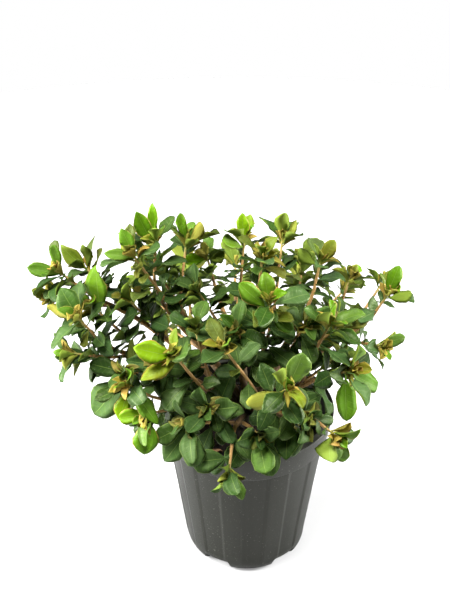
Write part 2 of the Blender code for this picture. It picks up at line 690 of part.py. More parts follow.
def in_the_pot(point):
    """Whether a point is in the pot's rim or wall, or too near the potting mix."""
    reach = math.hypot(point.x, point.y)
    if point.z > POT_HEIGHT + POT_GAP or reach > RIM_RADIUS + POT_GAP:
        return False
    return reach > MIX_RADIUS or point.z < mix_height(point.x, point.y) + POT_GAP


def touches_pot(leaf):
    """Whether any of a grid of points over the blade is in the pot."""
    for share in (0.15, 0.3, 0.45, 0.6, 0.75, 0.9, 1.0):
        wide = min(1.0, 4 * share * (1.06 - share))
        if any(in_the_pot(leaf.point(share, across * wide)) for across in (-1, -0.5, 0, 0.5, 1)):
            return True
    return False


class Placed:
    """What is already in place: a tree of faces for each stem and leaf, with its middle and reach."""

    def __init__(self):
        self.items = []

    def add(self, points, faces, owner):
        middle = sum(points, Vector()) / len(points)
        reach = max((point - middle).length for point in points)
        self.items.append((BVHTree.FromPolygons(points, faces), middle, reach, owner))

    def meets(self, points, faces, owner, own):
        """Whether these faces cross those of the owner's items, or of the others' where own is False."""
        middle = sum(points, Vector()) / len(points)
        reach = max((point - middle).length for point in points)
        tree = None
        for other, other_middle, other_reach, other_owner in self.items:
            if (other_owner == owner) != own:
                continue
            if (middle - other_middle).length > reach + other_reach:
                continue
            tree = tree or BVHTree.FromPolygons(points, faces)
            if tree.overlap(other):
                return True
        return False


def light(place):
    """The way a grown leaf turns its upper face: up, and outwards from the bush."""
    outward = Vector((place.x, place.y, 0.4 * (place.z - 0.24)))
    return (Vector((0, 0, 0.55)) + outward.normalized() * 0.75).normalized()


def leaf_at(stem, share, age, azimuth, spread, length, width, draw):
    """A leaf on the stem; age runs from 0 at the shoot's tip to 1 at its foot.

    Young leaves hug the tip, folded and facing it. Old ones lie flatter, droop and turn to the light.
    """
    place, along, _ = stem.at(share)
    across = along.orthogonal().normalized()
    other = along.cross(across)
    radial = across * math.cos(azimuth) + other * math.sin(azimuth)
    pointing = along * math.cos(spread) + radial * math.sin(spread)
    pointing = (pointing - Vector((0, 0, DROOP * age))).normalized()
    inner = along * math.sin(spread) - radial * math.cos(spread)
    face = inner.lerp(light(place), min(1.0, 1.3 * age))
    face = face - pointing * face.dot(pointing)
    if face.length < 0.05:
        face = inner
    arch = draw.uniform(0.04, 0.20) * (0.4 + age)
    fold = draw.uniform(0.18, 0.45) * (1.25 - 0.6 * age)
    return Leaf(place, pointing, face, length, width, arch, fold)


def fits(leaf, number, placed):
    """Whether the leaf is clear of the pot, of the other shoots and, past its own foot, of its own shoot."""
    return not (
        touches_pot(leaf)
        or placed.meets(*leaf.shell(LEAF_GAP, True), number, False)
        or placed.meets(*leaf.shell(LEAF_GAP / 2, False), number, True)
    )


def set_leaves(number, stem, placed):
    """The leaves that are set by eye, each nudged until it is clear."""
    leaves = []
    for index, (share, tip, width, underside) in enumerate(SET_LEAVES.get(number, [])):
        draw = random.Random(SEED * 50000 + number * 10 + index)
        base = stem.at(share)[0]
        shown = VIEWED_FROM.lerp(light(base), 0.3)
        for attempt in range(PLACING_TRIES):
            nudge = Vector([draw.uniform(-1, 1) for _ in range(3)]) * NUDGE * attempt / PLACING_TRIES
            along = Vector(tip) + nudge - base
            face = (-shown if underside else shown) + nudge / NUDGE
            arch, fold = draw.uniform(0.06, 0.14), draw.uniform(0.2, 0.35)
            leaf = Leaf(base, along, face, along.length, width, arch, fold)
            if fits(leaf, number, placed):
                leaves.append(leaf)
                placed.add(*leaf.shell(0, True), number)
                break
    return leaves


def spiral_leaves(number, stem, count, full_length, placed):
    """The shoot's other leaves, tip first, each in the first clear place near its turn of the spiral."""
    leaves = []
    start = random.Random(SEED * 1000 + number).uniform(0, math.tau)
    for index in range(count):
        draw = random.Random(SEED * 100000 + number * 100 + index)
        age = index / (count - 1)
        if index < WHORL:
            share = 0.988 - WHORL_SPAN * index / count
        else:
            share = 0.88 - (0.88 - LOWEST_LEAF) * ((index - WHORL + 1) / (count - WHORL + 1)) ** 0.9
        size = full_length * (BUD_SIZE + (1 - BUD_SIZE) * min(1.0, 2.2 * age)) * draw.uniform(0.9, 1.1)
        for attempt in range(PLACING_TRIES):
            loose = attempt / PLACING_TRIES
            azimuth = start + GOLDEN_ANGLE * index + draw.uniform(-1, 1) * (0.2 + 3.0 * loose)
            spread = TIP_SPREAD + (FOOT_SPREAD - TIP_SPREAD) * age + draw.uniform(-8, 8) * (1 + 2.5 * loose)
            spread = math.radians(spread)
            length = size * (1 - 0.35 * loose)
            width = length * draw.uniform(*SLIMNESS)
            leaf = leaf_at(stem, share, age, azimuth, spread, length, width, draw)
            if fits(leaf, number, placed):
                leaves.append(leaf)
                placed.add(*leaf.shell(0, True), number)
                break
    return leaves


def add_leaf(name, leaf, collection):
    return add_mesh(name, mesh_from(name, *leaf.solid()), collection)


def make_shoot(number, stem, leaves, tone, parts, cutters):
    name = f"leafy_shoot_{number:02d}"
    shoot = tube(name, stem.points, stem.radii, parts, 4)
    for index, leaf in enumerate(leaves):
        add_leaf(f"leaf_{index}", leaf, cutters)
    boolean(shoot, "UNION", cutters)
    shoot.data.materials.append(tone)
    return shoot


# Loose bits on the potting mix


def height_at(surface, spot):
    """The height of the meshed top of the potting mix."""
    return surface.ray_cast(Vector((*spot, POT_HEIGHT)), Vector((0, 0, -1)))[0].z


def highest_under(surface, place, size, turn):
    """The highest point of the potting mix under a turned rectangle."""
    spin = Matrix.Rotation(math.radians(turn), 2)
    heights = []
    for step in range(GRID_STEPS**2):
        share = Vector((step // GRID_STEPS, step % GRID_STEPS)) / (GRID_STEPS - 1) - Vector((0.5, 0.5))
        spot = Vector(place) + spin @ Vector((share.x * size[0], share.y * size[1]))
        heights.append(height_at(surface, spot))
    return max(heights)


def make_bark_chips(parts, surface, bark):
    for number, (place, turn, size) in enumerate(BARK_CHIPS, 1):
        skin = bmesh.new()
        bmesh.ops.create_cube(skin, size=1)
        bmesh.ops.scale(skin, vec=size, verts=skin.verts)
        chip = add_mesh(f"bark_chip_{number}", bpy.data.meshes.new("bark_chip"), parts)
        skin.to_mesh(chip.data)
        skin.free()
        chip.location = (*place, highest_under(surface, place, size, turn) + size[2] / 2 + SEAT_GAP)
        chip.rotation_euler.z = math.radians(turn)
        chip.data.materials.append(bark)


def make_dry_leaf(parts, surface):
    length, width = DRY_LEAF_SIZE
    half = around(length / 2, DRY_LEAF_TURN + 90, 0).xy
    ends = [Vector(DRY_LEAF_PLACE) - half, Vector(DRY_LEAF_PLACE) + half]
    base, tip = [Vector((*end, height_at(surface, end) + LEAF_THICKNESS / 2 + SEAT_GAP)) for end in ends]
    leaf = Leaf(base, tip - base, Vector((0, 0, 1)), length, width, -DRY_LEAF_CURL, DRY_LEAF_FOLD)
    add_leaf("dry_leaf", leaf, parts).data.materials.append(principled("dry_leaf"))


def grow():
    """Every limb, shoot and leaf, each shoot clear of those before it."""
    limbs = {name: limb_stem(name) for name in LIMBS}
    stems = {name: limb.samples() for name, limb in limbs.items()}
    placed = Placed()
    for limb in limbs.values():
        placed.add(*limb.shell(), 0)
    shoots = []
    for number, (name, along, tip, count, length, tone) in enumerate(SHOOTS, 1):
        others = [sample for key, group in stems.items() if key != name for sample in group]
        stem = shoot_stem(limbs[name], along, tip, others)
        stems[number] = stem.samples()
        placed.add(*stem.shell(), number)
        shoots.append((number, stem, count, length, tone))
    by_eye = {number: set_leaves(number, stem, placed) for number, stem, *_ in shoots}
    grown = []
    for number, stem, count, length, tone in shoots:
        leaves = by_eye[number]
        leaves += spiral_leaves(number, stem, count - len(leaves), length, placed)
        grown.append((number, stem, tone, leaves))
    return limbs, grown


def main():
    clear_scene()
    parts = new_collection("potted_indian_hawthorn")
    cutters = new_collection("cutters", shown=False)
    limbs, shoots = grow()
    make_pot(parts, cutters)
    mix = make_potting_mix(parts, cutters)
    trunk = make_woody_stems(parts, cutters, limbs)
    tones = {tone: principled(tone) for tone in ("dark_leaf", "lime_leaf", "bronze_leaf")}
    for number, stem, tone, leaves in shoots:
        make_shoot(number, stem, leaves, tones[tone], parts, cutters)
    faces = [face.vertices for face in mix.data.polygons]
    surface = BVHTree.FromPolygons([vertex.co for vertex in mix.data.vertices], faces)
    make_bark_chips(parts, surface, trunk.data.materials[0])
    make_dry_leaf(parts, surface)


main()
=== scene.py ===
"""Looks of the potted indian hawthorn: its pot, potting mix, woody stems, leafy shoots and loose bits.

Metres, +Z up. The origin is the middle of the pot's underside, and -Y is the front. The stems and the leaves
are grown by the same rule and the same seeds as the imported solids, so each lies where its solid does.
"""

import functools
import math
import random

import bmesh
import bpy
from mathutils import Matrix, Vector, noise
from mathutils.bvhtree import BVHTree


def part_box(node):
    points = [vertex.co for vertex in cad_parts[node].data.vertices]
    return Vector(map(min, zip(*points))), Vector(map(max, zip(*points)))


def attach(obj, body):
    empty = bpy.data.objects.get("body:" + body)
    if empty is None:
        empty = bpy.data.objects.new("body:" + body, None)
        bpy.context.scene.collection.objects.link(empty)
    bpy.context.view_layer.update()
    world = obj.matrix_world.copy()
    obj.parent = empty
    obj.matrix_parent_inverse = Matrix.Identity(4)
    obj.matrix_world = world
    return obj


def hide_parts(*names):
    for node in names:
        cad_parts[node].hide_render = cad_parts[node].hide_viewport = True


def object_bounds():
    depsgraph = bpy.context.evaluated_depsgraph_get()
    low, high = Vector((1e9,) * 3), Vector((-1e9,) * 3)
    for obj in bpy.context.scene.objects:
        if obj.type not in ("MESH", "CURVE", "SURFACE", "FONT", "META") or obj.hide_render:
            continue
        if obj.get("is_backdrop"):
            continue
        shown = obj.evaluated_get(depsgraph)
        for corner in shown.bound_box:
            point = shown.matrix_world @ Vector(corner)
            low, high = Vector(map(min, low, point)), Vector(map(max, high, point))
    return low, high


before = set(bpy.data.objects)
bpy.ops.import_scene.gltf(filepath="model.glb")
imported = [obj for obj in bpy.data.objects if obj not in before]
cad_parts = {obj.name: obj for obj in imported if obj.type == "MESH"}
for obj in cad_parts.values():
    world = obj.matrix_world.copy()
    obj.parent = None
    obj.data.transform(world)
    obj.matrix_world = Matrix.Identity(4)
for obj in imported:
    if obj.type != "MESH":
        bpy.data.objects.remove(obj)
cad_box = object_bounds()

bl_info = {
    "name": "Potted indian hawthorn",
    "version": (1, 0, 0),
    "blender": (4, 5, 0),
    "location": "3D View > Sidebar > Hawthorn",
    "description": "Grows a small evergreen shrub in a fluted nursery pot",
    "category": "Add Mesh",
}

# Pot
POT_HEIGHT = 0.195
RIM_RADIUS = 0.100
RIM_BAND_HEIGHT = 0.033
RIM_BAND_FOOT_RADIUS = 0.0936
LIP_WIDTH = 0.0065
LIP_EDGE_WIDTH = 0.0018
LIP_DROP = 0.001
LIP_HAUNCH = 0.004
WALL = 0.0018
BODY_TOP_RADIUS = 0.0913
BODY_FOOT_RADIUS = 0.073
CORNER_HEIGHT = 0.025
CORNER_START = (0.0705, 0.011)
FOOT_CORNER = (0.0665, 0.0035)
FOOT_OUTER_RADIUS = 0.061
FOOT_INNER_RADIUS = 0.057
FOOT_TAPER = 0.002
FLOOR_UNDERSIDE = 0.0087
FLOOR_RADIUS = 0.064
FLOOR_MIDDLE_RADIUS = 0.012

# Flutes round the pot: a raised and a recessed panel in each pitch, and a notch under every second recess.
# A notch's roof climbs outwards at the slope NOTCH_ROOF_RISE, and the risers between the panels are
# RISER_SOFTNESS times as wide as the solid's.
FLUTE_COUNT = 10
FLUTE_PITCH = 360 / FLUTE_COUNT
FLUTE_DEPTH = 0.0012
FLUTE_RUNOUT = 0.0025
FIRST_RECESS_ANGLE = 6.4
RECESS_HALF_ANGLE = 8.0
NOTCH_HALF_ANGLE = 11.5
FLUTE_RISER_ANGLE = 2.0
FIRST_NOTCH_RECESS = 1
NOTCH_STEP = 2
NOTCH_ROOF_RISE = 0.65
RISER_SOFTNESS = 1.7
DRAIN_RADIUS = 0.005
DRAIN_CIRCLE_RADIUS = 0.046
DRILL_LENGTH = 0.03
DRILL_SIDES = 24

# Potting mix: each lump wave is its share of the height, its waves along X and Y, and its phase. A noise is
# how fast its layers fade, how much finer each is than the one before, and how many there are.
CLEARANCE = 0.0004
MIX_TOP = 0.165
MIX_RADIUS = 0.0885
MIX_FLAT_RADIUS = 0.078
MIX_EDGE_DROP = 0.005
MIX_CHAMFER = (0.0008, 0.003)
MIX_LUMP = 0.0022
LUMP_WAVES = [(0.5, 131, 117, 2.7), (0.5, 131, -117, 1.5), (0.7, -151, 233, 0.0)]
MIX_SIDES = 180
MIX_TOP_ROWS = 41
MIX_ROW_STEP = 0.0021
MIX_MIDDLE_RADIUS = 0.020
CRUMB_WAVES = 260
CRUMB_NOISE = (0.6, 2.1, 4)
CRUMB_FADE = 0.004

# Stems. FLATS is how far out their flat sides are, as a share of the radius to their corners. A shoot sets
# off straight, turns to its tip from LIFT_OFF of its reach on, and is bowed aside at BOW_PLACE by one of BOWS
# where another stem is in the way. Its CROWDED_START may be close to other stems.
TRUNK_RADIUS = 0.008
TRUNK_BOTTOM = 0.120
TRUNK_MIDDLE = 0.150
TRUNK_FLARE_HEIGHT = 0.173
TRUNK_FLARE_TAPER = 0.97
FORK = Vector((0.0, 0.0, 0.187))
TRUNK_TOP = 0.193
TRUNK_TAPER = 0.8
LIMB_RADIUS = 0.0044
LIMB_END_RADIUS = 0.0026
SHOOT_RADIUS = 0.0018
SHOOT_TIP_RADIUS = 0.0010
SEAT_GAP = 0.0003
FLATS = 0.94
STRAIGHT_START = 0.003
SHOOT_PIECES = 3
FOLLOW_LIMB = 0.35
FORK_COSINE, FORK_SINE = 0.8, 0.6
STEM_CLEARANCE = 0.0025
CROWDED_START = 0.008
LIFT_OFF = 0.42
BOW_PLACE = 0.7
BOWS = (0.0, 0.12, 0.24, 0.36)
BOW_TURNS = 8
SAMPLE_STEP = 0.002

# Leaves. A station is a share of the length and of the half width. Spreads are in degrees from the stem,
# arches and folds are slopes, and a leaf's place on its stem is a share of the stem's length. An arched leaf
# reaches less far ahead, by ARCH_PULL of its slope squared.
LEAF_THICKNESS = 0.0014
ARCH_PULL = 0.25
LEAF_STATIONS = ((0.42, 0.92), (0.80, 0.80))
LEAF_GAP = 0.0009
POT_GAP = 0.002
GOLDEN_ANGLE = math.radians(137.5)
WHORL = 4
WHORL_SPAN = 0.10
HIGHEST_LEAF = 0.988
BELOW_WHORL = 0.88
LOWEST_LEAF = 0.26
TIP_SPREAD, FOOT_SPREAD = 24, 72
DROOP = 0.30
BUD_SIZE = 0.62
SLIMNESS = (0.44, 0.54)
ARCHES = (0.04, 0.20)
FOLDS = (0.18, 0.45)
SIZES = (0.9, 1.1)
SHRINKS_TO_FIT = 0.35
PLACING_TRIES = 44
NUDGE = 0.012
VIEWED_FROM = Vector((0.0, -0.80, 0.60))

# The way a grown leaf turns its upper face: up, and outwards from the bush's middle
BUSH_MIDDLE = 0.24
OUTWARD_RISE = 0.4
LIGHT_UPWARD = 0.55
LIGHT_OUTWARD = 0.75
TURNS_TO_LIGHT = 1.3

# Leaves set one by one
SET_TOWARDS_LIGHT = 0.3
SET_ARCHES = (0.06, 0.14)
SET_FOLDS = (0.2, 0.35)
SET_AGEING = 1.6

# Small young leaves at a shoot's tip: the first one's values, and what each leaf after it adds
BUD_PLACE, BUD_PLACE_STEP = 0.995, -0.012
BUD_SPREAD, BUD_SPREAD_STEP = (4, 24), 6
BUD_LENGTH, BUD_LENGTH_STEP = (0.010, 0.019), 0.0012
BUD_SLIMNESS = (0.34, 0.56)
BUD_FOLD = 1.7
SMALL_GAP = 0.0003
SMALL_TRIES = 40

# More leaves down the shoot, and how many of them a limb's shoots have against the others'
INNER_PLACE = (0.10, 0.90)
INNER_SPREAD = (35, 85)
INNER_LENGTH = (0.50, 0.95)
FULLNESS = {
    "far_right": 0.2, "right_front": 0.5, "left": 1.2, "upper_left": 1.2, "centre": 1.3,
    "upper_middle": 1.2, "front": 0.3, "front_droop": 0.2, "front_left": 0.6, "left_low": 0.6,
    "right_droop": 0.3, "back": 0.5, "back_right": 0.6, "back_left": 0.6,
}

# Seeds: each kind of leaf has a series of its own, and each shoot a stretch of it
SEED = 20
TURN_SERIES = 1000
SET_SERIES, SET_STRETCH = 50000, 10
SPIRAL_SERIES, SPIRAL_STRETCH = 100000, 100
BUD_SERIES, BUD_STRETCH = 300000, 100
INNER_SERIES, INNER_STRETCH = 500000, 100
LOOKS_STRETCH = 1000

# The places that each limb passes after the fork
LIMBS = {
    "left": [(-0.045, -0.008, 0.226), (-0.095, -0.018, 0.262), (-0.138, -0.022, 0.282)],
    "left_back": [(-0.050, 0.012, 0.236), (-0.110, 0.018, 0.290), (-0.158, 0.016, 0.322)],
    "upper_left": [(-0.030, 0.010, 0.240), (-0.072, 0.014, 0.290), (-0.092, 0.014, 0.320)],
    "upper_middle": [(-0.010, 0.020, 0.245), (-0.030, 0.045, 0.300)],
    "centre": [(0.010, -0.008, 0.240), (0.022, -0.015, 0.300)],
    "right_up": [(0.025, 0.005, 0.240), (0.052, 0.002, 0.300), (0.062, 0.002, 0.322)],
    "far_right": [(0.040, 0.010, 0.228), (0.085, 0.014, 0.264), (0.124, 0.010, 0.298)],
    "right_front": [(0.035, -0.025, 0.226), (0.075, -0.045, 0.266)],
    "right_droop": [(0.032, -0.046, 0.218), (0.062, -0.082, 0.243)],
    "front_left": [(-0.022, -0.040, 0.226), (-0.042, -0.074, 0.268)],
    "left_low": [(-0.042, -0.034, 0.220), (-0.088, -0.060, 0.246)],
    "front": [(0.010, -0.046, 0.228), (0.022, -0.088, 0.268)],
    "front_droop": [(-0.006, -0.050, 0.214), (-0.012, -0.092, 0.236)],
    "back_left": [(-0.042, 0.045, 0.224), (-0.086, 0.084, 0.256)],
    "back": [(-0.006, 0.055, 0.232), (-0.014, 0.100, 0.268)],
    "back_right": [(0.040, 0.045, 0.226), (0.080, 0.084, 0.258)],
}

# Leafy shoots: limb, place along it, tip, leaves, leaf length, tone
SHOOTS = [
    ("left", 1.00, (-0.180, -0.040, 0.337), 7, 0.040, "bronze_leaf"),
    ("left", 0.86, (-0.166, -0.010, 0.331), 7, 0.044, "lime_leaf"),
    ("left", 0.94, (-0.186, -0.052, 0.300), 7, 0.036, "lime_leaf"),
    ("left", 0.62, (-0.128, -0.062, 0.282), 6, 0.044, "dark_leaf"),
    ("left_back", 1.00, (-0.205, 0.010, 0.364), 7, 0.040, "bronze_leaf"),
    ("left_back", 0.88, (-0.179, 0.030, 0.358), 7, 0.042, "bronze_leaf"),
    ("left_back", 0.96, (-0.213, 0.022, 0.329), 6, 0.038, "bronze_leaf"),
    ("left_back", 0.60, (-0.128, -0.006, 0.338), 8, 0.042, "dark_leaf"),
    ("upper_left", 1.00, (-0.101, 0.020, 0.398), 8, 0.042, "lime_leaf"),
    ("upper_left", 0.86, (-0.122, -0.010, 0.398), 7, 0.040, "bronze_leaf"),
    ("upper_left", 0.80, (-0.069, 0.050, 0.380), 7, 0.040, "bronze_leaf"),
    ("upper_left", 0.62, (-0.110, 0.060, 0.350), 7, 0.042, "dark_leaf"),
    ("upper_middle", 1.00, (-0.047, 0.070, 0.350), 7, 0.038, "lime_leaf"),
    ("upper_middle", 0.75, (-0.005, 0.060, 0.380), 7, 0.038, "lime_leaf"),
    ("upper_middle", 0.62, (-0.055, 0.005, 0.345), 8, 0.042, "dark_leaf"),
    ("centre", 1.00, (0.036, 0.020, 0.404), 8, 0.038, "bronze_leaf"),
    ("centre", 0.90, (0.014, -0.010, 0.398), 7, 0.038, "bronze_leaf"),
    ("centre", 0.80, (0.022, -0.060, 0.372), 7, 0.044, "lime_leaf"),
    ("centre", 0.62, (-0.012, -0.048, 0.330), 8, 0.044, "dark_leaf"),
    ("right_up", 1.00, (0.077, 0.010, 0.380), 8, 0.038, "bronze_leaf"),
    ("right_up", 0.80, (0.060, 0.062, 0.350), 8, 0.040, "dark_leaf"),
    ("right_up", 0.60, (0.062, -0.040, 0.330), 8, 0.044, "dark_leaf"),
    ("far_right", 1.00, (0.151, 0.010, 0.338), 7, 0.034, "lime_leaf"),
    ("far_right", 0.70, (0.114, 0.050, 0.337), 7, 0.034, "lime_leaf"),
    ("far_right", 0.90, (0.148, 0.046, 0.330), 6, 0.032, "bronze_leaf"),
    ("far_right", 0.82, (0.142, -0.030, 0.300), 6, 0.034, "lime_leaf"),
    ("right_front", 1.00, (0.106, -0.060, 0.287), 7, 0.046, "bronze_leaf"),
    ("right_front", 0.80, (0.086, -0.050, 0.340), 7, 0.042, "lime_leaf"),
    ("right_front", 0.62, (0.095, -0.012, 0.268), 7, 0.044, "dark_leaf"),
    ("right_droop", 1.00, (0.090, -0.110, 0.243), 7, 0.038, "lime_leaf"),
    ("right_droop", 0.70, (0.062, -0.112, 0.262), 6, 0.042, "dark_leaf"),
    ("front_left", 1.00, (-0.074, -0.092, 0.326), 8, 0.044, "lime_leaf"),
    ("front_left", 0.80, (-0.055, -0.060, 0.338), 8, 0.042, "dark_leaf"),
    ("front_left", 0.62, (-0.040, -0.100, 0.264), 8, 0.046, "dark_leaf"),
    ("left_low", 1.00, (-0.126, -0.080, 0.280), 7, 0.040, "lime_leaf"),
    ("left_low", 0.80, (-0.104, -0.098, 0.256), 7, 0.044, "lime_leaf"),
    ("left_low", 0.66, (-0.092, -0.020, 0.240), 6, 0.044, "dark_leaf"),
    ("front", 1.00, (0.040, -0.128, 0.312), 8, 0.042, "lime_leaf"),
    ("front", 0.80, (-0.024, -0.100, 0.342), 7, 0.038, "bronze_leaf"),
    ("front", 0.62, (0.048, -0.098, 0.256), 7, 0.046, "dark_leaf"),
    ("front_droop", 1.00, (-0.018, -0.132, 0.206), 8, 0.035, "dark_leaf"),
    ("front_droop", 0.78, (-0.062, -0.112, 0.256), 8, 0.048, "dark_leaf"),
    ("front_droop", 0.70, (0.012, -0.118, 0.246), 7, 0.048, "dark_leaf"),
    ("back_left", 1.00, (-0.122, 0.112, 0.284), 8, 0.044, "dark_leaf"),
    ("back_left", 0.78, (-0.072, 0.128, 0.300), 7, 0.044, "lime_leaf"),
    ("back_left", 0.66, (-0.100, 0.120, 0.224), 7, 0.044, "dark_leaf"),
    ("back", 1.00, (-0.016, 0.140, 0.300), 7, 0.044, "lime_leaf"),
    ("back", 0.74, (0.020, 0.098, 0.322), 8, 0.042, "dark_leaf"),
    ("back", 0.66, (-0.010, 0.146, 0.234), 7, 0.044, "dark_leaf"),
    ("back_right", 1.00, (0.112, 0.108, 0.284), 8, 0.044, "dark_leaf"),
    ("back_right", 0.78, (0.058, 0.130, 0.292), 7, 0.042, "lime_leaf"),
    ("back_right", 0.66, (0.096, 0.118, 0.224), 7, 0.044, "dark_leaf"),
    ("left", 0.42, (-0.096, -0.058, 0.292), 8, 0.044, "dark_leaf"),
    ("right_up", 0.46, (0.098, -0.022, 0.318), 8, 0.042, "dark_leaf"),
]

# Leaves set one by one, by shoot: place along its stem, tip, width, and whether the underside shows in front
SET_LEAVES = {
    1: [(0.90, (-0.199, -0.030, 0.366), 0.026, False), (0.96, (-0.214, -0.014, 0.336), 0.014, True)],
    2: [(0.85, (-0.166, -0.015, 0.384), 0.026, False), (0.62, (-0.145, -0.055, 0.339), 0.027, True)],
    3: [(0.55, (-0.200, -0.060, 0.303), 0.017, False)],
    4: [(0.92, (-0.172, -0.060, 0.222), 0.038, False)],
    5: [(0.90, (-0.238, 0.004, 0.374), 0.017, False), (0.97, (-0.210, 0.010, 0.396), 0.013, False)],
    6: [(0.92, (-0.205, 0.028, 0.384), 0.018, False), (0.97, (-0.177, 0.030, 0.390), 0.014, True)],
    7: [(0.97, (-0.240, 0.010, 0.338), 0.013, True)],
    9: [(0.90, (-0.120, 0.018, 0.434), 0.019, False), (0.98, (-0.104, 0.024, 0.440), 0.011, False)],
    10: [(0.95, (-0.152, -0.012, 0.402), 0.014, False), (0.97, (-0.134, -0.004, 0.426), 0.016, False)],
    11: [(0.97, (-0.076, 0.050, 0.415), 0.013, False), (0.95, (-0.048, 0.044, 0.408), 0.016, True)],
    13: [(0.95, (-0.074, 0.055, 0.356), 0.018, False), (0.96, (-0.024, 0.060, 0.361), 0.018, True)],
    14: [(0.97, (-0.008, 0.058, 0.410), 0.015, False), (0.90, (-0.028, 0.045, 0.388), 0.018, False)],
    16: [(0.98, (0.035, 0.020, 0.437), 0.017, True), (0.95, (0.052, 0.020, 0.427), 0.012, True)],
    18: [(0.88, (-0.008, -0.074, 0.402), 0.020, False), (0.24, (0.060, -0.082, 0.300), 0.020, False)],
    20: [(0.95, (0.090, 0.010, 0.406), 0.016, False), (0.92, (0.050, 0.006, 0.398), 0.017, True)],
    23: [(0.95, (0.162, 0.014, 0.372), 0.018, False), (0.95, (0.178, -0.006, 0.350), 0.016, True)],
    27: [(0.94, (0.108, -0.082, 0.236), 0.026, False), (0.97, (0.143, -0.048, 0.258), 0.021, False)],
    28: [(0.95, (0.080, -0.074, 0.378), 0.027, True)],
    30: [(0.97, (0.084, -0.138, 0.226), 0.027, True), (0.93, (0.107, -0.112, 0.205), 0.017, False)],
    32: [(0.96, (-0.112, -0.108, 0.346), 0.023, False), (0.88, (-0.106, -0.118, 0.318), 0.018, False)],
    35: [(0.95, (-0.136, -0.098, 0.246), 0.017, False), (0.92, (-0.096, -0.118, 0.262), 0.018, False)],
    36: [(0.97, (-0.108, -0.122, 0.219), 0.027, False)],
    38: [(0.97, (0.028, -0.138, 0.348), 0.014, True), (0.92, (-0.002, -0.152, 0.308), 0.017, True)],
    40: [(0.92, (0.040, -0.142, 0.238), 0.028, False)],
    41: [(0.72, (-0.056, -0.136, 0.222), 0.026, False), (0.97, (-0.002, -0.150, 0.184), 0.014, False)],
    42: [(0.85, (-0.088, -0.128, 0.214), 0.028, False), (0.97, (-0.052, -0.146, 0.226), 0.024, False)],
    43: [(0.95, (0.020, -0.154, 0.224), 0.025, False)],
}

# Bark chips on the mix: place, turn and size
BARK_CHIPS = [
    ((0.028, -0.058), 30, (0.016, 0.007, 0.004)),
    ((0.058, -0.040), 110, (0.019, 0.009, 0.005)),
]
CHIP_CUTS = 7
CHIP_GRAIN = (1.4, 5, 3)
CHIP_NOISE = (0.7, 2.0, 3)
CHIP_FRAY = (0.0008, 0.0004, 0.0006)
CHIP_ROUNDING = (0.32, 0.12)

# Dry leaf on the mix
DRY_LEAF_PLACE = (-0.036, -0.052)
DRY_LEAF_TURN = 25
DRY_LEAF_SIZE = (0.022, 0.011)
DRY_LEAF_CURL = 0.04
DRY_LEAF_FOLD = 0.35
DRY_STALK_SHARE = 0.25
DRY_STALK_RADIUS = 0.0006
DRY_WAVE = 0.05
DRY_CAMBER = 0.5
DRY_BLOTCH = 0.35
DRY_LEAF_LOOKS = {
    "on_stem": 0.0, "girth": 0.0, "phase": 1.0, "twist": 0.5, "curl": 0.1, "ruffle": 1.0, "roll": 0.6,
    "cup": 1.0, "tip_power": 0.7,
}

# The blade that every leaf is shaped from: rows along its midrib, columns in half widths, and their heights
BLADE_STATIONS = (0.0, 0.08, 0.15, 0.25, 0.37, 0.50, 0.63, 0.76, 0.87, 0.95)
BLADE_ACROSS = (-1.0, -0.5, 0.0, 0.5, 1.0)
BLADE_LIFTS = (0.0, 0.8, 1.0, 0.8, 0.0)

# Outline of a blade: how slowly it widens from its foot, how sharply it ends, and the side veins of each half
OUTLINE_FOOT = 1.12
BLUNTNESS = (0.52, 0.98)
SIDE_VEINS = 8

# Unevenness of a blade: how far its width strays in long and in short waves, with their radians from foot to
# tip and from midrib to edge, then the radians of its edge's waves, and the share of the blade past which
# they are at their full height. A stalk is STALK_DEPTH as thick as it is wide, and thins out by STALK_BLEND.
LONG_WAVES = (0.08, 8.0, 2.2)
SHORT_WAVES = (0.035, 26)
EDGE_WAVES = (8.5, 1.3)
WAVES_IN_FULL = 0.4
STALK_DEPTH = 0.9
STALK_BLEND = 0.12

# Scale of each finish's pattern, in waves for each metre
WAVES = {
    "streaks": 90, "clouds": 26, "moulded grain": 2600, "dust": 520,
    "crumbs": 900, "clods": 210, "pale grains": 1500, "fibres": 1400,
    "bark lumps": 190, "bark cracks": 620, "bark patches": 120, "stem rings": 1100, "stem patches": 170,
    "mottling": 130, "specks": 900, "blotches": 300, "smudges": 3,
}

# How far each finish stands out in its bump
RELIEF = {
    "pot": 0.00012, "mix": 0.0012, "bits": 0.0005, "leaf": 0.0006, "stem": 0.0004, "bark": 0.0009,
    "dry leaf": 0.0008,
}


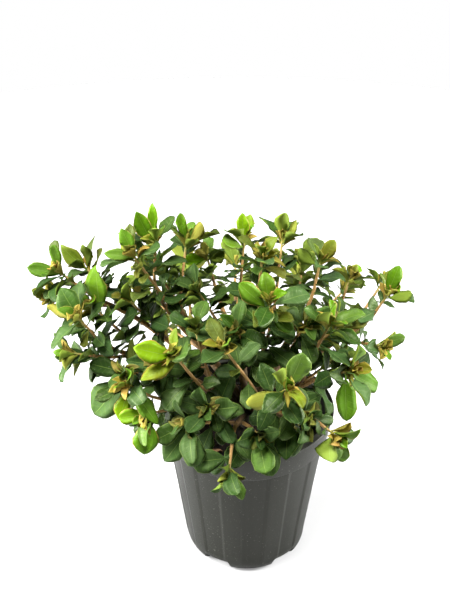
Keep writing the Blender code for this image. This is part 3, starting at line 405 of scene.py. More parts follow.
class HawthornSizes(bpy.types.PropertyGroup):
    """Sizes and counts that a user would change."""

    stalk_share: bpy.props.FloatProperty(
        name="Stalk share", description="How much of a leaf's length is its stalk", default=0.12,
        min=0.02, max=0.4, subtype="FACTOR",
    )
    stalk_radius: bpy.props.FloatProperty(
        name="Stalk radius", description="Half the thickness of a leaf's stalk", default=0.0008,
        unit="LENGTH",
    )
    blade_thickness: bpy.props.FloatProperty(
        name="Blade thickness", description="Thickness of a leaf at its midrib", default=0.0005,
        unit="LENGTH",
    )
    wave_height: bpy.props.FloatProperty(
        name="Wave height", description="How far a leaf's edge waves, as a share of its length",
        default=0.042, min=0, max=0.2, subtype="FACTOR",
    )
    camber: bpy.props.FloatProperty(
        name="Camber", description="How far a blade bulges between its midrib and edge", default=0.07,
        min=0, max=0.5, subtype="FACTOR",
    )
    bud_leaves: bpy.props.IntProperty(
        name="Bud leaves", description="Young leaves at the tip of each shoot", default=8, min=0, max=12,
    )
    inner_leaves: bpy.props.IntProperty(
        name="Inner leaves", description="Extra leaves down each shoot", default=10, min=0, max=12,
    )
    shoot_girth: bpy.props.FloatProperty(
        name="Shoot girth", description="Thickness of the young stems against the solids'", default=1.2,
        min=0.3, max=1.5, subtype="FACTOR",
    )
    bark_roughness: bpy.props.FloatProperty(
        name="Bark unevenness", description="How far the bark stands out and in", default=0.0005,
        unit="LENGTH",
    )
    flute_depth: bpy.props.FloatProperty(
        name="Flute depth", description="How far the pot's recessed panels are sunk",
        default=FLUTE_DEPTH, unit="LENGTH",
    )
    mix_grain: bpy.props.FloatProperty(
        name="Mix grain", description="Height of the crumbs of the potting mix", default=0.0016,
        unit="LENGTH",
    )
    bark_bits: bpy.props.FloatProperty(
        name="Bark bits", description="Bits of bark on each square metre of the mix", default=60000,
        min=0,
    )
    bit_length: bpy.props.FloatProperty(
        name="Bit length", description="Length of the largest bits", default=0.0046, unit="LENGTH",
    )
    seed: bpy.props.IntProperty(
        name="Seed", description="Draws another set of small leaves and bits", default=7,
    )


def colour_property(name, description, *colour):
    """A colour that a user would change, in linear red, green and blue."""
    return bpy.props.FloatVectorProperty(
        name=name, description=description, subtype="COLOR", size=3, min=0, max=1, default=colour,
    )


class HawthornColours(bpy.types.PropertyGroup):
    """Colours that a user would change."""

    grown_leaf: colour_property("Grown leaf", "Upper face of an old leaf", 0.026, 0.074, 0.009)
    fresh_leaf: colour_property("Fresh leaf", "Upper face of a young leaf", 0.098, 0.228, 0.003)
    lime_leaf: colour_property("Lime leaf", "Upper face of the yellowest leaves", 0.165, 0.275, 0.004)
    bronze_leaf: colour_property("Bronze leaf", "Upper face of the newest leaves", 0.150, 0.128, 0.009)
    bud_leaf: colour_property("Bud leaf", "Tan leaf that is still opening", 0.340, 0.210, 0.045)
    under_leaf: colour_property("Underside", "Underside of a young leaf", 0.145, 0.210, 0.024)
    midrib: colour_property("Midrib", "Midrib and side veins", 0.210, 0.310, 0.060)
    leaf_edge: colour_property("Leaf edge", "Thin red-brown edge of a young leaf", 0.400, 0.210, 0.060)
    young_stem: colour_property("Young stem", "Bark of this year's stems", 0.380, 0.215, 0.066)
    old_stem: colour_property("Old stem", "Bark of the limbs and trunk", 0.022, 0.017, 0.009)
    stem_tip: colour_property("Stem tip", "Green end of a stem", 0.250, 0.300, 0.060)
    pot: colour_property("Pot", "Charcoal plastic", 0.0082, 0.0090, 0.0064)
    dust: colour_property("Dust", "Dust on the pot, mix and leaves", 0.300, 0.300, 0.260)
    mix: colour_property("Potting mix", "Peat between the bits of bark", 0.010, 0.008, 0.006)
    bark_bit: colour_property("Bark bit", "Lightest bits of bark in the mix", 0.130, 0.066, 0.032)
    dry_leaf: colour_property("Dry leaf", "Fallen leaf", 0.420, 0.230, 0.110)
    floor: colour_property("Floor", "Studio floor", 0.66, 0.66, 0.66)


# Node trees


def is_vector(term):
    """Whether a term of an expression has three parts."""
    if isinstance(term, Wire):
        return term.socket.type == "VECTOR"
    return isinstance(term, (tuple, Vector))


class Wire:
    """A socket of a node. Arithmetic on wires adds the nodes that work it out."""

    def __init__(self, board, socket):
        self.board = board
        self.socket = socket

    def other(self, name):
        """Another output of the same node."""
        return Wire(self.board, self.socket.node.outputs[name])

    def __add__(self, term):
        return self.board.sum("ADD", self, term)

    def __radd__(self, term):
        return self.board.sum("ADD", term, self)

    def __sub__(self, term):
        return self.board.sum("SUBTRACT", self, term)

    def __rsub__(self, term):
        return self.board.sum("SUBTRACT", term, self)

    def __mul__(self, term):
        return self.board.product(self, term)

    def __rmul__(self, term):
        return self.board.product(term, self)

    def __truediv__(self, term):
        return self.board.sum("DIVIDE", self, term)

    def __rtruediv__(self, term):
        return self.board.sum("DIVIDE", term, self)

    def __pow__(self, term):
        return self.board.sum("POWER", self, term)

    def __mod__(self, term):
        return self.board.sum("FLOORED_MODULO", self, term)

    def __lt__(self, term):
        return self.board.sum("LESS_THAN", self, term)

    def __abs__(self):
        return self.board.sum("ABSOLUTE", self)


class Board:
    """A node tree that is being wired."""

    def __init__(self, tree):
        self.tree = tree

    def plug(self, socket, value):
        """Links a wire to the socket, or sets the socket to a value."""
        if isinstance(value, Wire):
            self.tree.links.new(value.socket, socket)
        elif socket.type == "RGBA" and len(value) == 3:
            socket.default_value = (*value, 1)
        else:
            socket.default_value = value

    def node(self, kind, settings=None, inputs=None, output=0):
        """Any node: its settings first, then the values or wires of its sockets."""
        made = self.tree.nodes.new(kind)
        for name, setting in (settings or {}).items():
            setattr(made, name, setting)
        for name, value in (inputs or {}).items():
            self.plug(made.inputs[name], value)
        return Wire(self, made.outputs[output])

    def sum(self, operation, *terms):
        """Any operation of the maths nodes, on vectors where a term is one."""
        kind = "ShaderNodeVectorMath" if any(is_vector(term) for term in terms) else "ShaderNodeMath"
        return self.node(kind, {"operation": operation}, dict(enumerate(terms)))

    def product(self, a, b):
        """Part by part, or a vector scaled by a number."""
        if is_vector(a) == is_vector(b):
            return self.sum("MULTIPLY", a, b)
        vector, number = (a, b) if is_vector(a) else (b, a)
        return self.node("ShaderNodeVectorMath", {"operation": "SCALE"}, {0: vector, 3: number})

    def most(self, a, b):
        return self.sum("MAXIMUM", a, b)

    def sine(self, angle):
        return self.sum("SINE", angle)

    def cosine(self, angle):
        return self.sum("COSINE", angle)

    def cross(self, a, b):
        return self.sum("CROSS_PRODUCT", a, b)

    def step(self, value, low, high):
        """Smoothly 0 below low and 1 above high."""
        settings = {"interpolation_type": "SMOOTHSTEP"}
        return self.node("ShaderNodeMapRange", settings, {0: value, 1: low, 2: high})

    def blend(self, factor, a, b):
        """Colour a, or b where the factor is 1."""
        return self.node("ShaderNodeMix", {"data_type": "RGBA"}, {0: factor, 6: a, 7: b}, 2)

    def noise(self, place, scale, detail=2.0, roughness=0.5):
        inputs = {"Vector": place, "Scale": scale, "Detail": detail, "Roughness": roughness}
        return self.node("ShaderNodeTexNoise", None, inputs)

    def parts(self, vector):
        return [self.node("ShaderNodeSeparateXYZ", None, {0: vector}, axis) for axis in range(3)]

    def join(self, x, y, z):
        return self.node("ShaderNodeCombineXYZ", None, {0: x, 1: y, 2: z})


class Finish(Board):
    """A material that is being wired: the Principled shader's sockets are set or linked by name."""

    def __init__(self, name, **sockets):
        self.material = bpy.data.materials.new(name)
        self.material.use_nodes = True
        super().__init__(self.material.node_tree)
        self.shader = self.tree.nodes["Principled BSDF"]
        self.place = self.node("ShaderNodeTexCoord", output="Object")
        self.set(**sockets)

    def set(self, **sockets):
        """Sets or links the shader's sockets, named in small letters and with _ for a space."""
        for name, value in sockets.items():
            self.plug(self.shader.inputs[name.replace("_", " ").title().replace("Ior", "IOR")], value)

    def attribute(self, name):
        """A number that the mesh keeps under this name."""
        return self.node("ShaderNodeAttribute", {"attribute_name": name}, output="Fac")

    def bump(self, height, distance):
        """Relief that stands this far out where the height is 1."""
        inputs = {"Height": height, "Distance": distance, "Strength": 1.0}
        self.set(normal=self.node("ShaderNodeBump", None, inputs))


class Rule(Board):
    """A Geometry Nodes tree that is being wired, with named inputs."""

    def __init__(self, name):
        super().__init__(bpy.data.node_groups.new(name, "GeometryNodeTree"))
        self.source = self.tree.nodes.new("NodeGroupInput")
        self.geometry = self.input("Geometry", "Geometry")
        self.tree.interface.new_socket("Geometry", in_out="OUTPUT", socket_type="NodeSocketGeometry")

    def input(self, name, kind="Float"):
        """A named input of the tree."""
        self.tree.interface.new_socket(name, in_out="INPUT", socket_type="NodeSocket" + kind)
        return Wire(self, self.source.outputs[name])

    def attribute(self, name, kind="FLOAT"):
        """What the mesh keeps under this name."""
        return self.node("GeometryNodeInputNamedAttribute", {"data_type": kind}, {"Name": name})

    def done(self, *pieces):
        """Joins the pieces, makes them real and ends the tree."""
        joined = self.node("GeometryNodeJoinGeometry")
        for piece in pieces:
            self.tree.links.new(piece.socket, joined.socket.node.inputs[0])
        sink = self.tree.nodes.new("NodeGroupOutput")
        self.plug(sink.inputs[0], self.node("GeometryNodeRealizeInstances", None, {0: joined}))
        return self.tree


def follow_rule(obj, tree, **values):
    """Turns the object's mesh into what the tree makes of it.

    The values are named as the tree's inputs, in small letters and with _ for a space.
    """
    modifier = obj.modifiers.new(tree.name, "NODES")
    modifier.node_group = tree
    for item in tree.interface.items_tree:
        key = item.name.lower().replace(" ", "_")
        if item.in_out == "INPUT" and key in values:
            modifier[item.identifier] = values.pop(key)
    if values:
        raise ValueError(f"{tree.name} has no input for {', '.join(values)}")
    graph = bpy.context.evaluated_depsgraph_get()
    mesh = bpy.data.meshes.new_from_object(obj.evaluated_get(graph))
    obj.modifiers.clear()
    obj.data = mesh


# Meshes


def mesh_from(name, points, edges=(), faces=()):
    """A mesh of these points, edges and faces."""
    mesh = bpy.data.meshes.new(name)
    mesh.from_pydata(points, edges, faces)
    return mesh


def add_piece(name, mesh):
    """An object with this mesh, at the origin."""
    obj = bpy.data.objects.new(name, mesh)
    bpy.context.scene.collection.objects.link(obj)
    return obj


def store(mesh, name, values):
    """Keeps one number or vector for each vertex under this name."""
    vectors = isinstance(values[0], Vector)
    attribute = mesh.attributes.new(name, "FLOAT_VECTOR" if vectors else "FLOAT", "POINT")
    flat = [part for value in values for part in value] if vectors else values
    attribute.data.foreach_set("vector" if vectors else "value", flat)


def close_loft(name, rings):
    """A skin through rings of equal count, with a flat cap at each end."""
    count = len(rings[0])
    points = [point for ring in rings for point in ring]
    faces = [tuple(reversed(range(count)))]
    for low in range(0, len(points) - count, count):
        for side in range(count):
            after = (side + 1) % count
            faces.append((low + side, low + after, low + count + after, low + count + side))
    faces.append(tuple(range(len(points) - count, len(points))))
    return mesh_from(name, points, (), faces)


def face_outwards(mesh):
    """Turns every face of a closed mesh outwards."""
    skin = bmesh.new()
    skin.from_mesh(mesh)
    bmesh.ops.recalc_face_normals(skin, faces=skin.faces)
    skin.to_mesh(mesh)
    skin.free()


def finish_piece(obj, slot, *nodes):
    """Hands the piece over in place of these nodes."""
    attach(obj, "root")
    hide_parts(*nodes)


def around(radius, angle, height):
    """A point at this many degrees from the front, turning towards +X."""
    turn = math.radians(angle)
    return Vector((radius * math.sin(turn), -radius * math.cos(turn), height))


def mix_height(x, y):
    """The lumpy top of the potting mix, sunk at its edge."""
    edge = max(0.0, math.hypot(x, y) - MIX_FLAT_RADIUS) / (MIX_RADIUS - MIX_FLAT_RADIUS)
    lumps = sum(share * math.sin(u * x + v * y + phase) for share, u, v, phase in LUMP_WAVES)
    return MIX_TOP + MIX_LUMP * lumps * (1 - edge) - MIX_EDGE_DROP * edge


def bezier(knots, share):
    """A point on the smooth curve that the knots pull towards themselves."""
    points = list(knots)
    while len(points) > 1:
        points = [a.lerp(b, share) for a, b in zip(points, points[1:])]
    return points[0]


def through(knots, share):
    """A point on a smooth curve through the knots, spaced evenly."""
    spans = len(knots) - 1
    place = min(share * spans, spans - 1e-9)
    index = int(place)
    part = place - index
    before = knots[max(index - 1, 0)]
    start, end = knots[index], knots[index + 1]
    after = knots[min(index + 2, spans)]
    lead, trail = (end - before) / 2, (after - start) / 2
    square, cube = part**2, part**3
    return (
        start * (2 * cube - 3 * square + 1)
        + lead * (cube - 2 * square + part)
        + end * (3 * square - 2 * cube)
        + trail * (cube - square)
    )


class Stem:
    """A route with a radius that tapers along it."""

    def __init__(self, points, radius, end_radius):
        self.points = points
        self.lengths = [0.0]
        for a, b in zip(points, points[1:]):
            self.lengths.append(self.lengths[-1] + (b - a).length)
        self.length = self.lengths[-1]
        self.radii = [radius + (end_radius - radius) * reached / self.length for reached in self.lengths]

    def at(self, share):
        """Place, direction and radius at this share of the length."""
        want = share * self.length
        index = 0
        while index < len(self.points) - 2 and self.lengths[index + 1] < want:
            index += 1
        span = self.lengths[index + 1] - self.lengths[index]
        part = (want - self.lengths[index]) / span
        a, b = self.points[index], self.points[index + 1]
        radius = self.radii[index] + (self.radii[index + 1] - self.radii[index]) * part
        return a.lerp(b, part), (b - a).normalized(), radius

    def samples(self):
        """Places and radii along the route, for the distance to other stems."""
        count = max(2, int(self.length / SAMPLE_STEP))
        return [(self.at(i / count)[0], self.at(i / count)[2]) for i in range(count + 1)]

    def shell(self, grow=0.0, sides=6):
        """Points and faces of a plain tube round the route, for clearance tests."""
        points, faces = [], []
        for index, (point, radius) in enumerate(zip(self.points, self.radii)):
            ahead = self.points[min(index + 1, len(self.points) - 1)]
            behind = self.points[max(index - 1, 0)]
            along = (ahead - behind).normalized()
            across = along.orthogonal().normalized()
            other = along.cross(across)
            for side in range(sides):
                turn = math.tau * side / sides
                outward = across * math.cos(turn) + other * math.sin(turn)
                points.append(point + outward * (radius + grow))
        for low in range(0, len(points) - sides, sides):
            for side in range(sides):
                after = (side + 1) % sides
                faces.append((low + side, low + after, low + sides + after, low + sides + side))
        return points, faces


def limb_stem(name):
    """A limb from the fork through its places."""
    knots = [FORK] + [Vector(point) for point in LIMBS[name]]
    pieces = 1 + len(LIMBS[name])
    points = [through(knots, piece / pieces) for piece in range(pieces + 1)]
    return Stem(points, LIMB_RADIUS, LIMB_END_RADIUS)


def seat(limb, along, tip):
    """Where a shoot starts, just clear of its limb's bark, and the way that it sets off."""
    place, direction, radius = limb.at(along)
    if along >= 1:
        return place + direction * SEAT_GAP, direction
    towards = (tip - place).normalized()
    setting_off = (direction * FOLLOW_LIMB + towards).normalized()
    cosine = setting_off.dot(direction)
    sine = math.sqrt(1 - cosine * cosine)
    if sine < FORK_SINE:
        aside = (setting_off - direction * cosine).normalized()
        cosine, sine = FORK_COSINE, FORK_SINE
        setting_off = direction * cosine + aside * sine
    start = (FLATS * (radius + SHOOT_RADIUS * abs(cosine)) + SEAT_GAP) / sine
    return place + setting_off * start, setting_off


def room(stem, others, skip_start):
    """The least clear distance from the stem to the other stems' samples."""
    least = 1.0
    for place, radius in stem.samples():
        if (place - stem.points[0]).length < skip_start:
            continue
        for other_place, other_radius in others:
            gap = (place - other_place).length - radius - other_radius
            least = min(least, gap)
    return least


def shoot_stem(limb, along, tip, others):
    """A shoot that curves from its limb to its tip, bowed aside where another stem is in the way."""
    tip = Vector(tip)
    start, setting_off = seat(limb, along, tip)
    straight = start + setting_off * STRAIGHT_START
    reach = (tip - start).length
    aside = setting_off.orthogonal().normalized()
    around_it = setting_off.cross(aside)
    best = None
    for bow in BOWS:
        for turn in range(BOW_TURNS if bow else 1):
            swing = math.tau * turn / BOW_TURNS
            push = (aside * math.cos(swing) + around_it * math.sin(swing)) * bow * reach
            knots = [straight, start + setting_off * reach * LIFT_OFF, start.lerp(tip, BOW_PLACE) + push, tip]
            points = [start] + [bezier(knots, piece / SHOOT_PIECES) for piece in range(SHOOT_PIECES + 1)]
            stem = Stem(points, SHOOT_RADIUS, SHOOT_TIP_RADIUS)
            gap = room(stem, others, CROWDED_START)
            if gap > STEM_CLEARANCE:
                return stem
            if best is None or gap > best[0]:
                best = (gap, stem)
    return best[1]


class Leaf:
    """A folded, arched blade: its base, the way it points, its upper face's normal and its sizes.

    Its age is 0 at the tip of a shoot and about 1 at its foot.
    """

    def __init__(self, base, along, face, length, width, arch, fold):
        self.base = base
        self.along = along.normalized()
        self.side = self.along.cross(face).normalized()
        self.face = self.side.cross(self.along)
        self.length = length
        self.width = width
        self.arch = arch
        self.fold = fold
        self.age = 0.0
        self.kind = "grown"

    def point(self, share, across, lift=0.0):
        """A point of the blade: share along the midrib, across it in half widths."""
        ahead = self.length * (share - ARCH_PULL * self.arch * self.arch * share**3)
        half = self.width / 2
        rise = self.fold * half * abs(across) - self.arch * self.length * share**2 + lift
        return self.base + self.along * ahead + self.side * half * across + self.face * rise

    def face_of(self, side, gap, whole):
        """One face of the blade, grown by the gap; whole takes in the part next to the stem too."""
        length, width = self.length + gap, self.width + 2 * gap
        grown = Leaf(self.base, self.along, self.face, length, width, self.arch, self.fold)
        points = [grown.point(0, 0, side * gap)]
        for share, wide in LEAF_STATIONS:
            for across in (-wide, 0, wide):
                lift = gap + (0 if across else LEAF_THICKNESS / 2)
                points.append(grown.point(share, across, side * lift))
        points.append(grown.point(1, 0, side * gap))
        tip = len(points) - 1
        faces = [(0, 2, 1), (0, 3, 2)] if whole else []
        for low in range(1, tip - 3, 3):
            left, middle, right = low, low + 1, low + 2
            faces += [(left, middle, middle + 3), (left, middle + 3, left + 3)]
            faces += [(middle, right, middle + 3), (right, right + 3, middle + 3)]
        return points, faces + [(tip - 3, tip - 2, tip), (tip - 2, tip - 1, tip)]

    def shell(self, gap, whole):
        """Both faces of the blade for a clearance test, and the strip between them where they are apart."""
        upper, corners = self.face_of(1, gap, whole)
        lower, _ = self.face_of(-1, gap, whole)
        count = len(upper)
        faces = corners + [tuple(corner + count for corner in face) for face in corners]
        if gap:
            outline = [*range(1, count - 1, 3), count - 1, *range(count - 2, 2, -3)]
            if whole:
                outline = [0, *outline, 0]
            for here, there in zip(outline, outline[1:]):
                faces += [(here, there, there + count), (here, there + count, here + count)]
        return upper + lower, faces


def in_the_pot(point):
    """Whether a point is in the pot's rim or wall, or too near the potting mix."""
    reach = math.hypot(point.x, point.y)
    if point.z > POT_HEIGHT + POT_GAP or reach > RIM_RADIUS + POT_GAP:
        return False
    return reach > MIX_RADIUS or point.z < mix_height(point.x, point.y) + POT_GAP


def touches_pot(leaf):
    """Whether any of a grid of points over the blade is in the pot."""
    for share in (0.15, 0.3, 0.45, 0.6, 0.75, 0.9, 1.0):
        wide = min(1.0, 4 * share * (1.06 - share))
        if any(in_the_pot(leaf.point(share, across * wide)) for across in (-1, -0.5, 0, 0.5, 1)):
            return True
    return False


class Placed:
    """What is already in place: a tree of faces for each stem and leaf, with its middle and reach."""

    def __init__(self):
        self.items = []

    def add(self, points, faces, owner):
        middle = sum(points, Vector()) / len(points)
        reach = max((point - middle).length for point in points)
        self.items.append((BVHTree.FromPolygons(points, faces), middle, reach, owner))

    def meets(self, points, faces, owner, own):
        """Whether these faces cross those of the owner's items, or of the others' where own is False."""
        middle = sum(points, Vector()) / len(points)
        reach = max((point - middle).length for point in points)
        tree = None
        for other, other_middle, other_reach, other_owner in self.items:
            if (other_owner == owner) != own:
                continue
            if (middle - other_middle).length > reach + other_reach:
                continue
            tree = tree or BVHTree.FromPolygons(points, faces)
            if tree.overlap(other):
                return True
        return False


def light(place):
    """The way a grown leaf turns its upper face: up, and outwards from the bush."""
    outward = Vector((place.x, place.y, OUTWARD_RISE * (place.z - BUSH_MIDDLE)))
    return (Vector((0, 0, LIGHT_UPWARD)) + outward.normalized() * LIGHT_OUTWARD).normalized()


def leaf_at(stem, share, age, azimuth, spread, length, width, draw):
    """A leaf on the stem; age runs from 0 at the shoot's tip to 1 at its foot.

    Young leaves hug the tip, folded and facing it. Old ones lie flatter, droop and turn to the light.
    """
    place, along, _ = stem.at(share)
    across = along.orthogonal().normalized()
    other = along.cross(across)
    radial = across * math.cos(azimuth) + other * math.sin(azimuth)
    pointing = along * math.cos(spread) + radial * math.sin(spread)
    pointing = (pointing - Vector((0, 0, DROOP * age))).normalized()
    inner = along * math.sin(spread) - radial * math.cos(spread)
    face = inner.lerp(light(place), min(1.0, TURNS_TO_LIGHT * age))
    face = face - pointing * face.dot(pointing)
    if face.length < 0.05:
        face = inner
    arch = draw.uniform(*ARCHES) * (0.4 + age)
    fold = draw.uniform(*FOLDS) * (1.25 - 0.6 * age)
    return Leaf(place, pointing, face, length, width, arch, fold)


def fits(leaf, number, placed):
    """Whether the leaf is clear of the pot, the other shoots and, past its own foot, its own shoot."""
    return not (
        touches_pot(leaf)
        or placed.meets(*leaf.shell(LEAF_GAP, True), number, False)
        or placed.meets(*leaf.shell(LEAF_GAP / 2, False), number, True)
    )


def set_leaves(number, stem, placed):
    """The listed leaves, each nudged until it is clear."""
    leaves = []
    for index, (share, tip, width, underside) in enumerate(SET_LEAVES.get(number, [])):
        draw = random.Random(SEED * SET_SERIES + number * SET_STRETCH + index)
        base = stem.at(share)[0]
        shown = VIEWED_FROM.lerp(light(base), SET_TOWARDS_LIGHT)
        for attempt in range(PLACING_TRIES):
            nudge = Vector([draw.uniform(-1, 1) for _ in range(3)]) * NUDGE * attempt / PLACING_TRIES
            along = Vector(tip) + nudge - base
            face = (-shown if underside else shown) + nudge / NUDGE
            arch, fold = draw.uniform(*SET_ARCHES), draw.uniform(*SET_FOLDS)
            leaf = Leaf(base, along, face, along.length, width, arch, fold)
            if fits(leaf, number, placed):
                leaf.age = SET_AGEING * (1 - share)
                leaf.kind = "by eye"
                leaves.append(leaf)
                placed.add(*leaf.shell(0, True), number)
                break
    return leaves


def spiral_leaves(number, stem, count, full_length, placed):
    """The shoot's other leaves, tip first, each in the first clear place near its turn of the spiral."""
    leaves = []
    start = random.Random(SEED * TURN_SERIES + number).uniform(0, math.tau)
    for index in range(count):
        draw = random.Random(SEED * SPIRAL_SERIES + number * SPIRAL_STRETCH + index)
        age = index / (count - 1)
        if index < WHORL:
            share = HIGHEST_LEAF - WHORL_SPAN * index / count
        else:
            down = ((index - WHORL + 1) / (count - WHORL + 1)) ** 0.9
            share = BELOW_WHORL - (BELOW_WHORL - LOWEST_LEAF) * down
        size = full_length * (BUD_SIZE + (1 - BUD_SIZE) * min(1.0, 2.2 * age)) * draw.uniform(*SIZES)
        for attempt in range(PLACING_TRIES):
            loose = attempt / PLACING_TRIES
            azimuth = start + GOLDEN_ANGLE * index + draw.uniform(-1, 1) * (0.2 + 3.0 * loose)
            stray = draw.uniform(-8, 8) * (1 + 2.5 * loose)
            spread = math.radians(TIP_SPREAD + (FOOT_SPREAD - TIP_SPREAD) * age + stray)
            length = size * (1 - SHRINKS_TO_FIT * loose)
            width = length * draw.uniform(*SLIMNESS)
            leaf = leaf_at(stem, share, age, azimuth, spread, length, width, draw)
            if fits(leaf, number, placed):
                leaf.age = age
                leaves.append(leaf)
                placed.add(*leaf.shell(0, True), number)
                break
    return leaves


def height_at(surface, spot):
    """The height of the meshed top of the potting mix."""
    return surface.ray_cast(Vector((*spot, POT_HEIGHT)), Vector((0, 0, -1)))[0].z


def grow():
    """Every limb, shoot and leaf, each shoot clear of those before it."""
    limbs = {name: limb_stem(name) for name in LIMBS}
    stems = {name: limb.samples() for name, limb in limbs.items()}
    placed = Placed()
    for limb in limbs.values():
        placed.add(*limb.shell(), 0)
    shoots = []
    for number, (name, along, tip, count, length, tone) in enumerate(SHOOTS, 1):
        others = [sample for key, group in stems.items() if key != name for sample in group]
        stem = shoot_stem(limbs[name], along, tip, others)
        stems[number] = stem.samples()
        placed.add(*stem.shell(), number)
        shoots.append((number, stem, count, length, tone))
    by_eye = {number: set_leaves(number, stem, placed) for number, stem, *_ in shoots}
    grown = []
    for number, stem, count, length, tone in shoots:
        leaves = by_eye[number]
        leaves += spiral_leaves(number, stem, count - len(leaves), length, placed)
        grown.append((number, stem, tone, leaves))
    return Plant(limbs, grown, placed)


class Plant:
    """The grown limbs and shoots, and what is already in place."""

    def __init__(self, limbs, shoots, placed):
        self.limbs = limbs
        self.shoots = shoots
        self.placed = placed


@functools.cache
def plant():
    """The plant, grown once for all its pieces."""
    return grow()


def squeezes_in(leaf, number, placed, own):
    """Whether a small leaf is clear of the pot and the other shoots, and of its own shoot if own is True."""
    if touches_pot(leaf) or placed.meets(*leaf.shell(SMALL_GAP, True), number, False):
        return False
    return not (own and placed.meets(*leaf.shell(0, False), number, True))


def bud_leaves(number, stem, count, seed, placed):
    """The youngest leaves, folded round the shoot's tip."""
    leaves = []
    for index in range(count):
        draw = random.Random(seed * BUD_SERIES + number * BUD_STRETCH + index)
        share = BUD_PLACE + BUD_PLACE_STEP * index
        for _ in range(SMALL_TRIES):
            azimuth = GOLDEN_ANGLE * index + draw.uniform(0, math.tau)
            spread = math.radians(draw.uniform(*BUD_SPREAD) + BUD_SPREAD_STEP * index)
            length = draw.uniform(*BUD_LENGTH) + BUD_LENGTH_STEP * index
            width = length * draw.uniform(*BUD_SLIMNESS)
            leaf = leaf_at(stem, share, 0.0, azimuth, spread, length, width, draw)
            leaf.fold *= BUD_FOLD
            if squeezes_in(leaf, number, placed, False):
                leaf.kind = "bud"
                leaves.append(leaf)
                placed.add(*leaf.shell(0, True), number)
                break
    return leaves


def inner_leaves(number, stem, full_length, count, seed, placed):
    """Grown leaves that fill the gaps down the shoot."""
    leaves = []
    for index in range(count):
        draw = random.Random(seed * INNER_SERIES + number * INNER_STRETCH + index)
        for _ in range(SMALL_TRIES):
            share = draw.uniform(*INNER_PLACE)
            age = 1 - share * 0.9
            azimuth = draw.uniform(0, math.tau)
            spread = math.radians(draw.uniform(*INNER_SPREAD))
            length = full_length * draw.uniform(*INNER_LENGTH)
            width = length * draw.uniform(*SLIMNESS)
            leaf = leaf_at(stem, share, age, azimuth, spread, length, width, draw)
            if squeezes_in(leaf, number, placed, True):
                leaf.age = age
                leaf.kind = "inner"
                leaves.append(leaf)
                placed.add(*leaf.shell(0, True), number)
                break
    return leaves


def small_leaves(buds, inner, seed):
    """For each shoot, the leaves that the solids leave out."""
    placed = plant().placed
    more = {}
    for number, stem, _, _ in plant().shoots:
        more[number] = bud_leaves(number, stem, buds, seed, placed)
    for number, stem, _, _ in plant().shoots:
        limb, _, _, _, full_length, _ = SHOOTS[number - 1]
        wanted = round(inner * FULLNESS.get(limb, 1.0))
        more[number] += inner_leaves(number, stem, full_length, wanted, seed, placed)
    return more


# Pot

# Columns of the pot's skin, in degrees up to a recess's middle: they are closest where a riser climbs
PANEL_COLUMNS = (-17, -15, *[-14 + 0.35 * step for step in range(19)], -6, -4, -2, 0)

# Rounding of a corner: its points, and how much of the sides next to it that it may take
ROUND_STEPS = 4
ROUND_SHARE = 0.45

# The pot's finish: how much it reflects and in what colour, how far the painted highlight along its risers
# reaches on each side, in degrees, and how pale it is. Edges that turn more than SHARP_ANGLE stay sharp.
POT_SPECULAR = 0.17
POT_SPECULAR_TINT = (1.0, 1.0, 0.88, 1.0)
HIGHLIGHT_WIDTH = (0.1, 1.3)
HIGHLIGHT_TINT = 0.045
SHARP_ANGLE = 40


def pot_profile():
    """Radius, height, flute share, notch share and rounding of each corner of the pot's section.

    The section runs from the middle of the underside, round the foot, wall and rim, to the floor's middle.
    """
    edge = RIM_RADIUS - LIP_EDGE_WIDTH
    lip = edge - LIP_WIDTH
    lip_top = POT_HEIGHT - LIP_DROP
    seam = POT_HEIGHT - RIM_BAND_HEIGHT
    middle = (BODY_FOOT_RADIUS + BODY_TOP_RADIUS) / 2
    middle_height = (CORNER_HEIGHT + seam) / 2
    return [
        (FLOOR_MIDDLE_RADIUS, FLOOR_UNDERSIDE, 0, 0, 0),
        (FOOT_INNER_RADIUS - FOOT_TAPER, FLOOR_UNDERSIDE, 0, 0, 0.0006),
        (FOOT_INNER_RADIUS, 0, 0, 1, 0.0008),
        (FOOT_OUTER_RADIUS, 0, 0, 1, 0.0012),
        (*FOOT_CORNER, 0, 1, 0.003),
        (*CORNER_START, 0, 1, 0.004),
        (BODY_FOOT_RADIUS, CORNER_HEIGHT, 1, 0, 0.004),
        (middle, middle_height, 1, 0, 0),
        (BODY_TOP_RADIUS, seam - FLUTE_RUNOUT - CLEARANCE, 1, 0, 0.0008),
        (BODY_TOP_RADIUS, seam - CLEARANCE, 0, 0, 0.0003),
        (RIM_BAND_FOOT_RADIUS, seam, 0, 0, 0.0007),
        (RIM_RADIUS, POT_HEIGHT, 0, 0, 0.0008),
        (edge, POT_HEIGHT, 0, 0, 0.0005),
        (edge - 0.0006, lip_top - 0.0003, 0, 0, 0.0004),
        (lip, lip_top, 0, 0, 0.0008),
        (lip, lip_top - WALL, 0, 0, 0.0005),
        (RIM_RADIUS - LIP_HAUNCH, lip_top - WALL, 0, 0, 0),
        (RIM_BAND_FOOT_RADIUS - WALL, seam, 0, 0, 0.0008),
        (BODY_TOP_RADIUS - WALL, seam - WALL, 0, 0, 0.0008),
        (BODY_FOOT_RADIUS - WALL, CORNER_HEIGHT, 1, 0, 0.003),
        (FLOOR_RADIUS, FLOOR_UNDERSIDE + WALL, 0, 0, 0.001),
        (FLOOR_MIDDLE_RADIUS, FLOOR_UNDERSIDE + WALL, 0, 0, 0),
    ]


